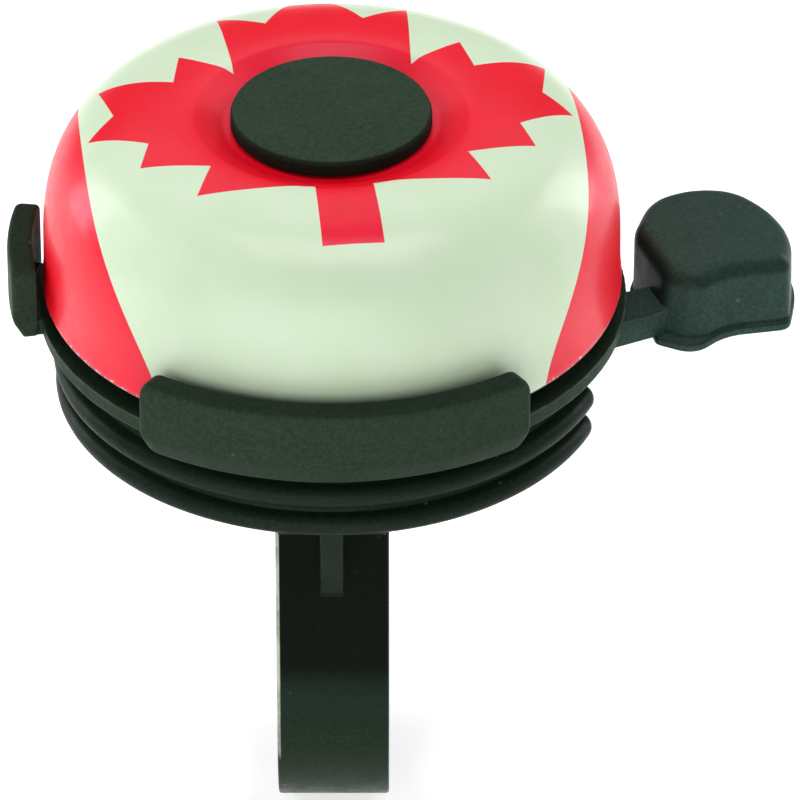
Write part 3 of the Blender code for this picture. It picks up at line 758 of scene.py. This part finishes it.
def make_cap():
    """The cap's slightly dished disc, with its skirt and the collar that grips the nut."""
    radius, top = CAP_HIGH.x, CAP_HIGH.z
    low = RIM + 18.8
    outer = [
        (0.0, top - 0.06, 0),
        (radius * 0.6, top - 0.04, 3),
        (radius - 0.25, top, 0.3),
        (radius, top - 0.55, 0.35),
        (radius, low, 0.2),
        (radius - 1.0, low, 0.2),
        (radius - 1.0, RIM + 19.95, 0.15),
        (5.6, RIM + 19.95, 0.15),
        (5.6, CAP_LOW.z, 0.2),
        (4.5, CAP_LOW.z, 0.2),
        (4.5, RIM + CROWN_Z, 0),
        (0.0, RIM + CROWN_Z, 0),
    ]
    profile = rounded(outer, 6, closed=False)
    rings = [turned(profile, TURN * i / CAP_STEPS) for i in range(CAP_STEPS)]
    verts, faces = skin(rings, closed=False, closed_path=True)
    return finished(put("cap_disc", verts, faces), "cap", 38)


dome = make_dome()
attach(dome, "base")
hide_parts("dome")
cap = make_cap()
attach(cap, "base")
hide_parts("dome_cap")


# Guard ring, with heights from the rim and angles in degrees

FLANGE_R = 30.7
FLANGE_IN_R = 24.9
FLANGE_Z = (-3.7, -1.9)
FLANGE_STEPS = 360
BUMPER_R = (31.2, 33.8)
BUMPER_Z = (-3.7, 5.3)
BUMPER_CREASE = -1.3
# Each bumper's middle and half its span
BUMPERS = ((90, 35.5), (180.4, 11.4), (271, 35.5))
# How much further each end reaches, and the radii of its corners and of its nose
BUMPER_SPREAD = 0.9
CORNER = 1.6
CORNER_PLACES = (0, 0.02, 0.08, 0.18, 0.32, 0.5, 0.75, 1.0, 1.3, CORNER)
BUMPER_NOSE = 0.6
WEB_R = (30.0, 32.4)
GUARD_SCREW_ANGLES = (90, 210, 330)
GUARD_SCREW_R = 26.3
GUARD_SEAT_R = 1.9
GUARD_BORE_R = 1.1


def bumper_section(sink, drop):
    """The bumper's section as (radius, z), with its faces sunk and its top and bottom dropped."""
    low, high = BUMPER_Z[0] + drop, BUMPER_Z[1] - drop
    inner, outer = BUMPER_R[0] + sink * 0.3, BUMPER_R[1] - sink
    crease = max(BUMPER_CREASE, low + 0.8)
    corners = [
        (inner, low, 0.3),
        (outer - 1.15, low, 0.5),
        (outer, crease, 2.2),
        (outer, high - 0.1, 0.95),
        (inner, high, 0.5),
    ]
    return rounded(corners, 6)


def shortfall(radius, from_end):
    """How far a corner of this radius falls short, at this distance from the end."""
    if from_end >= radius:
        return 0
    return radius - math.sqrt(max(0, radius**2 - (radius - from_end) ** 2))


def bumper(middle, half):
    """One bumper along the ring, with closer sections at its rounded ends."""
    half += BUMPER_SPREAD
    start, end = math.radians(middle - half), math.radians(middle + half)
    length = (end - start) * BUMPER_R[1]
    inner = steps(CORNER, length - CORNER, max(6, int(length / 0.8)))[1:-1]
    places = [*CORNER_PLACES, *inner, *(length - place for place in reversed(CORNER_PLACES))]
    rings = []
    for place in places:
        from_end = min(place, length - place)
        section = bumper_section(shortfall(BUMPER_NOSE, from_end), shortfall(CORNER, from_end))
        rings.append(turned(lifted(section), start + place / BUMPER_R[1]))
    verts, faces = skin(rings)
    return put("bumper", verts, faces)


def make_ring():
    """The flange with its ragged edge and screw seats, the bumpers, and the webs that hold them."""
    low, high = FLANGE_Z
    flash = random.Random(7)
    rings = []
    ragged = 0.0
    for i in range(FLANGE_STEPS):
        ragged = 0.6 * ragged + flash.uniform(-0.05, 0.05)
        corners = [
            (FLANGE_IN_R, low, 0.15),
            (FLANGE_R - 0.2, low + 0.02, 0.2),
            (FLANGE_R - 0.06, low + 0.4, 0.2),
            (FLANGE_R - 0.04 + ragged * 0.3, high - 0.35, 0.1),
            (FLANGE_R + 0.02 + ragged, high + 0.06 + ragged, 0.05),
            (FLANGE_R - 0.35, high + 0.02, 0.1),
            (FLANGE_IN_R, high, 0.15),
        ]
        rings.append(turned(lifted(rounded(corners, 4)), TURN * i / FLANGE_STEPS))
    verts, faces = skin(rings, closed_path=True)
    flange = put("flange", verts, faces)
    for angle in GUARD_SCREW_ANGLES:
        spot = polar(GUARD_SCREW_R, math.radians(angle))
        seat, bore = [circle(GUARD_SEAT_R, 40, spot)], [circle(GUARD_BORE_R, 24, spot)]
        cut(flange, extruded("seat", seat, RIM + low + 0.6, RIM + high + 1))
        cut(flange, extruded("bore", bore, RIM + low - 1, RIM + high + 1))
    parts = [flange]
    for middle, half in BUMPERS:
        parts.append(bumper(middle, half))
        a, b = math.radians(middle - half + 1.2), math.radians(middle + half - 1.2)
        web = arc(WEB_R[1], a, b, 60) + arc(WEB_R[0], b, a, 60)
        parts.append(extruded("web", [web], RIM + low + 0.05, RIM + high - 0.05))
    return finished(joined("guard_ring_body", parts), "ring", 50)


ring = make_ring()
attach(ring, "base")
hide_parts("guard_ring")


# Base housing, with heights from the rim

BASE_R = 27.4
RECESS_R = 26.0
CHAMBER_R = 24.6
RIB_R = 1.15
# Each rib's outermost radius and the height of its middle
RIBS = ((29.3, -8.5), (29.1, -12.1))
# How far from the notch the ribs take to round up to their full size
RIB_REACH = 1.9
# The ribs stop over the notch, and the wall is lower over the window that the lever moves in
NOTCH = (math.radians(-18.5), math.radians(60))
NOTCH_PLACES = (0, 0.01, 0.03, 0.07, 0.13, 0.22, 0.34, 0.5, 0.7, 0.95, 1.25, 1.6, 1.95)
WINDOW = (math.radians(-15), math.radians(42))
BASE_STEPS = 240
BASE_TOP = -4.0
BASE_BOTTOM = -13.3
BOSS_TOP = -5.3
BOSS_R = 5.6
POST_BORE_R = 2.2
FLOOR_TOP = -11.1
WINDOW_Z = -8.55


def rib_share(angle, protrusion):
    """How much of the ribs is left at this angle: none in the notch, round at its ends."""
    start, end = NOTCH
    angle = (angle - start) % TURN
    span = end - start
    if angle < span:
        return 0.0
    reach = min(angle - span, TURN - angle) * BASE_R
    if reach >= protrusion:
        return 1.0
    return math.sqrt(max(0, 1 - (1 - reach / protrusion) ** 2))


def base_profile(angle):
    """The base's section at this angle as (radius, z) points.

    It runs from the post's bore over the boss, the floor and the wall, and back to the axis below.
    """
    share = rib_share(angle, RIB_REACH)
    wall = RECESS_R + (BASE_R - RECESS_R) * min(1, share * 1.6)
    in_window = WINDOW[0] < angle < WINDOW[1] or WINDOW[0] < angle - TURN < WINDOW[1]
    top = WINDOW_Z if in_window else BASE_TOP
    points = [
        (0, BASE_BOTTOM + 0.6),
        (POST_BORE_R, BASE_BOTTOM + 0.6),
        (POST_BORE_R, BOSS_TOP - 0.2),
        (POST_BORE_R + 0.2, BOSS_TOP),
        (BOSS_R - 0.25, BOSS_TOP),
        (BOSS_R, BOSS_TOP - 0.25),
        (BOSS_R, FLOOR_TOP + 0.4),
        (BOSS_R + 0.4, FLOOR_TOP),
        (CHAMBER_R - 0.4, FLOOR_TOP),
        (CHAMBER_R, FLOOR_TOP + 0.4),
        (CHAMBER_R, top - 0.12),
        (CHAMBER_R + 0.12, top),
        (wall - 0.25, top),
        (wall, top - 0.25),
    ]
    for tip, height in RIBS:
        reach = (tip - RIB_R - wall) * share
        size = RIB_R * (0.35 + 0.65 * share)
        points.append((wall, min(top - 0.26, height + RIB_R + 0.35)))
        points.append((wall + 0.12 * share, min(top - 0.27, height + RIB_R + 0.08)))
        for a in steps(math.pi / 2, -math.pi / 2, 13):
            z = height + size * math.sin(a)
            points.append((wall + reach + RIB_R * share * math.cos(a), min(z, top - 0.28)))
        points.append((wall + 0.12 * share, height - RIB_R - 0.08))
        if height - RIB_R - 0.35 > BASE_BOTTOM:
            points.append((wall, height - RIB_R - 0.35))
    points[-1] = (wall + 0.1 * share, BASE_BOTTOM + 0.04)
    points += [(wall - 0.3, BASE_BOTTOM), (5, BASE_BOTTOM), (0, BASE_BOTTOM)]
    return points


def make_base():
    """The housing's shell, with closer sections where the ribs end and the window's sides stand."""
    angles = {TURN * i / BASE_STEPS for i in range(BASE_STEPS)}
    for edge, outwards in zip(NOTCH, (-1, 1)):
        for place in NOTCH_PLACES:
            angles.add((edge + outwards * (place + 0.001) / BASE_R) % TURN)
        angles.add((edge - outwards * 0.002) % TURN)
    for edge in WINDOW:
        angles.add((edge - 1e-4) % TURN)
        angles.add((edge + 1e-4) % TURN)
    rings = [turned(lifted(base_profile(angle)), angle) for angle in sorted(angles)]
    verts, faces = skin(rings, closed=False, closed_path=True)
    return finished(put("base_body", verts, faces), "base", 42)


# Blocks on the base: side views are (y, z), and ACROSS stands them up and extrudes them along X

ACROSS = Matrix(((0, 0, 1, 0), (1, 0, 0, 0), (0, 1, 0, 0), (0, 0, 0, 1)))
# How high the blocks run into the base
BLOCK_TOP = RIM + BASE_BOTTOM + 0.3
HINGE = (-17.2, 11.0)
EAR_R = 2.75
EAR_FOOT = 3.4
EAR_X = (3.3, 5.6)
BRIDGE_FOOT = 3.3
SCREW_Y = 22.8
NUT_BLOCK_Y = (15.2, 26.8)
NUT_BLOCK_LOW = 8.4
NUT_SLOT_HALF = 3.75
IDLER_ANGLE = math.radians(165)
IDLER_R = 13.2
IDLER_BOSS_R = 3.0
IDLER_BORE_R = 1.58
IDLER_BOSS_TOP = -8.4


def make_seat():
    """The pedestal that rests on the bar, softened like a moulding."""
    outline = [
        (-4.0, 0),
        (4.0, 0),
        (12.6, -4.6),
        (13.4, -4.4),
        (12.6, BLOCK_TOP),
        (-12.6, BLOCK_TOP),
        (-13.4, -4.4),
        (-12.6, -4.6),
    ]
    block = extruded("bar_seat_block", [outline], -5.2, 5.2, ACROSS, (0.35, 3, 20))
    return finished(block, "base", 50)


def make_ears():
    """The two ears that hold the strap's pin, and the bridge over them."""
    y = HINGE[0]
    outline = arc(EAR_R, -math.pi, 0, 25, HINGE)
    outline += [(y + EAR_FOOT, BLOCK_TOP), (y - EAR_FOOT, BLOCK_TOP)]
    bore = circle(1.33, 40, HINGE)
    near, far = EAR_X
    ears = []
    for low, high in ((-far, -near), (near, far)):
        ears.append(extruded("ear", [outline, bore], low, high, ACROSS, (0.25, 3, 50)))
    bridge = [
        (y - BRIDGE_FOOT, BLOCK_TOP - 0.4),
        (y + BRIDGE_FOOT, BLOCK_TOP - 0.4),
        (y + BRIDGE_FOOT, BLOCK_TOP),
        (y - BRIDGE_FOOT, BLOCK_TOP),
    ]
    ears.append(extruded("bridge", [bridge], -5.4, 5.4, ACROSS))
    return finished(joined("hinge_ears", ears), "base", 45)


def make_nut_block():
    """The block at the back, with a slot for the nut and a bore for the screw."""
    near, far = NUT_BLOCK_Y
    corners = [
        (near, NUT_BLOCK_LOW, 0.8),
        (far, NUT_BLOCK_LOW, 1.2),
        (far + 0.2, BLOCK_TOP, 0.1),
        (near, BLOCK_TOP, 0.1),
    ]
    block = extruded("nut_block", [rounded(corners, 5)], -5.5, 5.5, ACROSS, (0.4, 3, 50))
    bake(block)
    half = NUT_SLOT_HALF
    slot = [(-half, SCREW_Y - 4.4), (half, SCREW_Y - 4.4), (half, 32), (-half, 32)]
    cut(block, extruded("slot", [slot], NUT_LOW.z - 0.3, NUT_HIGH.z + 0.3))
    cut(block, extruded("bore", [circle(2.3, 40, (0, SCREW_Y))], 5, BLOCK_TOP - 0.5))
    return finished(block, "base", 45)


def make_idler_boss():
    """The post inside the chamber that holds the idler gear's pin."""
    spot = polar(IDLER_R, IDLER_ANGLE)
    outline = [circle(IDLER_BOSS_R, 56, spot), circle(IDLER_BORE_R, 40, spot)]
    low, high = RIM + FLOOR_TOP - 0.3, RIM + IDLER_BOSS_TOP
    return finished(extruded("idler_boss", outline, low, high, soft=(0.15, 2, 50)), "base", 45)


base = make_base()
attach(base, "base")
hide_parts("base_housing")
for made in (make_seat(), make_ears(), make_nut_block(), make_idler_boss()):
    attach(made, "base")


# Strap, with its side view as (y, z)

STRAP_WALL = 2.4
BAR_R = 15.9
HOOP_R = 16.0
MID_R = HOOP_R + STRAP_WALL / 2
RIDGE = 0.02


def strap_path():
    """The hoop's middle line as (y, z, outward y, outward z), from the knuckle to the ear."""
    path = [(-MID_R, z, -1, 0) for z in steps(HINGE[1] - 1.2, -BAR_R, 48)[:-1]]
    for angle in steps(math.pi, TURN, 97):
        c, s = math.cos(angle), math.sin(angle)
        path.append((MID_R * c, -BAR_R + MID_R * s, c, s))
    path += [(MID_R, z, 1, 0) for z in steps(-BAR_R, 4.2, 24)[1:]]
    return path


def strap_section():
    """The strap's section as (x, outward), with a faint parting ridge down its outer face."""
    half, wall = STRAP_HALF, STRAP_WALL / 2 - RIDGE
    corners = [
        (-half, -wall, 0.3),
        (half, -wall, 0.3),
        (half, wall, 0.38),
        (0.2, wall, 0),
        (0.09, wall, 0),
        (0.0, wall + RIDGE, 0),
        (-0.09, wall, 0),
        (-0.2, wall, 0),
        (-half, wall, 0.38),
    ]
    return rounded(corners, 5)


def make_strap():
    """The hoop with its knuckle, the rib up its front, and the ear and heel at its back."""
    section = strap_section()
    rings = []
    for y, z, out_y, out_z in strap_path():
        rings.append([(x, y + out_y * n, z + out_z * n) for x, n in section])
    verts, faces = skin(rings)
    hoop = put("hoop", verts, faces)
    knuckle_outline = [circle(2.55, 56, HINGE), circle(1.36, 40, HINGE)]
    knuckle = extruded("knuckle", knuckle_outline, -2.94, 2.94, ACROSS, (0.2, 3, 50))
    gusset_side = [
        (STRAP_FACE_Y + 0.8, 0.6, 0),
        (STRAP_FACE_Y - 0.06, 0.7, 0.1),
        (-23.9, 12.6, 0.8),
        (-23.3, 14.5, 0.8),
        (-19.2, 14.8, 0.5),
        (STRAP_FACE_Y + 0.8, 13, 0),
    ]
    gusset_outline = [rounded(gusset_side, 5)]
    gusset = extruded("gusset", gusset_outline, -1.15, 1.15, ACROSS, (0.3, 3, 35))
    ear_corners = [(-5.2, 16.1, 0.3), (5.2, 16.1, 0.3), (5.2, 27.6, 1.6), (-5.2, 27.6, 1.6)]
    ear_outline = [rounded(ear_corners, 6), circle(2.75, 48, (0, SCREW_Y))]
    ear = extruded("ear", ear_outline, 3.0, 6.0, soft=(0.35, 3, 50))
    heel_corners = [
        (0.05 - STRAP_HALF, 16.2, 0.5),
        (STRAP_HALF - 0.05, 16.2, 0.5),
        (STRAP_HALF - 0.5, 19.6, 0.5),
        (0.5 - STRAP_HALF, 19.6, 0.5),
    ]
    heel = extruded("heel", [rounded(heel_corners, 4)], 2.0, 5.9, soft=(0.4, 3, 50))
    parts = [hoop, knuckle, gusset, ear, heel]
    return finished(joined("strap_body", parts), "strap", 42)


strap = make_strap()
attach(strap, "strap")
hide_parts("clamp_strap")


# Thumb lever, with heights from the rim. Its sector is part of an inward gear.

MODULE = 0.8
PRESSURE = math.radians(25)
TOOTH_FILL = 0.82
SECTOR_TEETH = 43
SECTOR_CUT = 6
PITCH_R = SECTOR_TEETH * MODULE / 2
SECTOR_Z = (-7.9, -5.3)
SPOKE_ANGLES = (math.radians(191), math.radians(198))
HUB_R = 7.5
HUB_BORE_R = 5.71
ARM_Z = (-8.15, -4.9)
LIP_Z = (-8.75, -7.75)
TOP_Z = -0.5
PADDLE_ROOF = 1.6
PADDLE_EDGE = 1.9
ARM = [
    (5.9, -5.1, 0.5),
    (24.4, -4.6, 3),
    (29.5, -1.7, 3),
    (36.8, 1.85, 0.3),
    (35.9, 6.5, 0.3),
    (31.4, 4.6, 3),
    (24.0, 1.6, 3),
    (6.4, 3.3, 0.5),
]

# The paddle's outlines as (x, y, radius), with as many corners each so that one flows into the next
BODY_TOP = [
    (35.0, 2.0, 3),
    (38.5, 0.5, 4),
    (41.6, 3.2, 7),
    (47.9, 4.0, 1.8),
    (48.5, 9.4, 20),
    (46.5, 14.4, 20),
    (42.7, 18.3, 20),
    (37.9, 18.6, 20),
    (33.4, 16.4, 20),
    (31.6, 10.6, 4),
]
BODY_FOOT = [
    (34.3, 1.0, 1.8),
    (38.2, -1.0, 3.4),
    (41.4, 1.9, 7),
    (48.0, 3.0, 1.6),
    (48.6, 8.8, 20),
    (46.8, 13.8, 20),
    (42.8, 18.0, 20),
    (38.0, 18.3, 20),
    (33.4, 15.8, 20),
    (31.6, 9.2, 3),
]
LIP = [
    (33.9, -0.1, 1.2),
    (38.0, -2.1, 3.2),
    (41.3, 1.4, 6),
    (48.1, 2.7, 1.6),
    (49.03, 9.0, 20),
    (47.5, 14.2, 20),
    (43.2, 18.9, 20),
    (37.8, 19.1, 20),
    (32.9, 16.2, 20),
    (31.3, 9.0, 3),
]
HOLLOW = [
    (36.8, 2.4, 0.8),
    (38.8, 1.5, 2),
    (41.4, 3.9, 4),
    (46.0, 4.8, 1),
    (46.4, 8.5, 5),
    (44.6, 12.2, 4),
    (42.1, 15.0, 3),
    (38.7, 15.2, 3),
    (35.0, 13.2, 2),
    (33.3, 9.8, 1),
]


def make_paddle():
    """The paddle as one skin: from its hollow round its lip, up its side and over its top."""
    rings = []

    def level(corners, z, distance=0.0):
        rings.append([(x, y, RIM + z) for x, y in rounded(inset(corners, distance), 12)])

    def side(share):
        pairs = zip(BODY_FOOT, BODY_TOP)
        return [tuple(a + (b - a) * share for a, b in zip(*pair)) for pair in pairs]

    roof = TOP_Z - PADDLE_ROOF
    low, ledge = LIP_Z
    height = TOP_Z - ledge
    level(HOLLOW, roof, 0.4)
    level(HOLLOW, roof - 0.12, 0.12)
    level(HOLLOW, roof - 0.4)
    level(HOLLOW, low + 0.15)
    level(HOLLOW, low, -0.12)
    level(LIP, low, 0.2)
    level(LIP, low + 0.06, 0.06)
    level(LIP, low + 0.2)
    level(LIP, ledge - 0.2)
    level(LIP, ledge - 0.06, 0.06)
    level(LIP, ledge, 0.2)
    level(side(0), ledge + 0.04, -0.2)
    level(side(0.02), ledge + 0.2)
    for share in steps(0.06, 0.7, 8):
        level(side(share), ledge + height * share)
    for angle in steps(0, math.pi / 2, 10):
        z = TOP_Z - PADDLE_EDGE * (1 - math.sin(angle))
        level(side((z - ledge) / height), z, PADDLE_EDGE * (1 - math.cos(angle)))
    verts, faces = skin(rings)
    return put("paddle", verts, faces)


def involute(angle):
    return math.tan(angle) - angle


def half_gap(radius):
    """Half the angle of one of the sector's inward teeth at a radius."""
    base = PITCH_R * math.cos(PRESSURE)
    at_radius = math.acos(min(1, base / max(radius, base)))
    tooth = (2 - TOOTH_FILL) * math.pi / (2 * SECTOR_TEETH)
    return math.pi / SECTOR_TEETH - tooth - involute(PRESSURE) + involute(at_radius)


def sector_outline():
    """The toothed arc inside the base: inward teeth, then plain ring up to its end."""
    root = PITCH_R + 1.1 * MODULE
    radii = steps(root, PITCH_R - 0.8 * MODULE, 6)
    pitch_angle = TURN / SECTOR_TEETH
    start = IDLER_ANGLE - pitch_angle * 5
    end = IDLER_ANGLE + math.radians(34)
    points = [polar(root, start)]
    for tooth in range(SECTOR_CUT):
        middle = start + pitch_angle * (tooth + 0.5)
        points += [polar(radius, middle - half_gap(radius)) for radius in radii]
        points += [polar(radius, middle + half_gap(radius)) for radius in reversed(radii)]
    points += arc(root, start + pitch_angle * SECTOR_CUT, end, 12)
    return points + arc(root + 1.5, end, start, 40)


def make_lever():
    """The paddle, its arm, the hub round the post, and the toothed sector with its spoke."""
    low, high = ARM_Z
    arm = extruded("arm", [rounded(ARM, 8)], RIM + low, RIM + high, soft=(0.35, 4, 45))
    bake(arm)
    paddle = make_paddle()
    cut(arm, extruded("hub_space", [circle(7.0, 48)], RIM - 9, RIM - 4))
    cut(arm, extruded("spring_space", [circle(17.0, 72)], RIM - 9.5, RIM - 8.0))
    low, high = RIM + SECTOR_Z[0], RIM + SECTOR_Z[1]
    sector = extruded("sector", [sector_outline()], low, high, soft=(0.12, 2, 45))
    hub_outline = [circle(HUB_R, 72), circle(HUB_BORE_R, 72)]
    hub = extruded("hub", hub_outline, low + 0.1, high - 0.1, soft=(0.15, 2, 45))
    a, b = SPOKE_ANGLES
    spoke_outline = arc(19.2, a, b, 5) + arc(6.6, b, a, 5)
    spoke = extruded("spoke", [spoke_outline], low + 0.2, high - 0.2)
    return finished(joined("lever_body", [paddle, arm, sector, hub, spoke]), "lever", 50)


lever = make_lever()
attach(lever, "lever")
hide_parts("thumb_lever")


# Finishes for the CAD pieces that stay as they are

CAD_FINISHES = {
    "steel": "guard_screw_a guard_screw_b guard_screw_c strap_hinge_pin clamp_nut clamp_washer "
    "clamp_screw centre_post spacer_tube dome_washer dome_nut idler_pin idler_clip striker_a "
    "striker_b",
    "dark": "rotor_carrier striker_pin_a striker_pin_b",
    "spring": "return_spring",
    "nylon": "idler_gear rotor_pinion",
}
for finish, names in CAD_FINISHES.items():
    for name in names.split():
        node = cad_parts[name]
        for slot in node.material_slots:
            slot.material = MATERIALS[finish]
        if not node.material_slots:
            node.data.materials.append(MATERIALS[finish])


# Floor, light and camera

FLOOR_HALF_M = 3.0
FLOOR_GAP = 0.2
FLOOR_GREY = 0.72
FLOOR_GLOW = 0.66
WORLD_GLOW = 0.14

# Name, place, width and height, and power in watts. Each softbox faces the middle of the rim.
SOFTBOXES = (
    ("top", (0, 20, RIM + 620), (420, 320), 1.75),
    ("back", (0, 440, RIM + 470), (760, 300), 0.9),
    ("left", (-470, 240, RIM + 170), (170, 420), 1.4),
    ("right", (470, 300, RIM + 170), (170, 420), 1.5),
    ("front", (-160, -600, RIM + 150), (720, 420), 1.9),
)


def make_floor():
    """A pale floor just under the strap, seen only from above."""
    half = FLOOR_HALF_M
    low = (STRAP_BOTTOM - FLOOR_GAP) * MM
    corners = [(-half, -half, low), (half, -half, low), (half, half, low), (-half, half, low)]
    data = bpy.data.meshes.new("floor")
    data.from_pydata(corners, [], [(0, 1, 2, 3)])
    floor = placed("floor", data)
    s = Shader("pale_floor")
    s.set(color=(FLOOR_GREY,) * 3, rough=0.9, specular=0.05)
    s.set(glow=(1, 1, 1), glow_strength=FLOOR_GLOW)
    behind = s.node("ShaderNodeNewGeometry").outputs["Backfacing"]
    clear = s.node("ShaderNodeBsdfTransparent").outputs[0]
    seen = s.node("ShaderNodeMixShader", {0: behind, 1: s.bsdf.outputs[0], 2: clear})
    s.feed(s.tree.nodes["Material Output"].inputs["Surface"], seen.outputs[0])
    data.materials.append(s.material)


def softbox(name, spot, size, watts):
    light = bpy.data.lights.new(name, "AREA")
    light.shape = "RECTANGLE"
    light.size, light.size_y = size[0] * MM, size[1] * MM
    light.energy = watts
    obj = placed(name, light)
    obj.location = Vector(spot) * MM
    away = (Vector((0, 0, RIM)) - Vector(spot)).normalized()
    obj.rotation_euler = away.to_track_quat("-Z", "Y").to_euler()


def make_light():
    for name, spot, size, watts in SOFTBOXES:
        softbox(name, spot, size, watts)
    world = bpy.data.worlds.new("studio")
    world.use_nodes = True
    background = world.node_tree.nodes["Background"]
    background.inputs["Color"].default_value = (1, 1, 1, 1)
    background.inputs["Strength"].default_value = WORLD_GLOW
    bpy.context.scene.world = world
    bpy.context.scene.view_settings.view_transform = "Standard"
    bpy.context.scene.view_settings.look = "None"


def make_camera():
    """The photo's camera: looks down from the strap's side, slid to place the rim's centre."""
    back = Vector((0, -math.cos(VIEW_ELEVATION), math.sin(VIEW_ELEVATION)))
    up = Vector((0, math.sin(VIEW_ELEVATION), math.cos(VIEW_ELEVATION)))
    half = FRAME_PIXELS / 2
    spot = Vector((0, 0, RIM)) + back * VIEW_DISTANCE
    spot.x += (half - CENTRE_PIXEL[0]) / PIXELS_PER_MM
    spot += up * ((CENTRE_PIXEL[1] - half) / PIXELS_PER_MM)
    camera = bpy.data.cameras.new("camera")
    camera.sensor_width = SENSOR_MM
    camera.lens = PIXELS_PER_MM * VIEW_DISTANCE * SENSOR_MM / FRAME_PIXELS
    camera.clip_start, camera.clip_end = 0.05, 20
    obj = placed("camera", camera)
    obj.location = spot * MM
    obj.rotation_euler = (math.pi / 2 - VIEW_ELEVATION, 0, 0)
    bpy.context.scene.camera = obj


make_floor()
make_light()
make_camera()
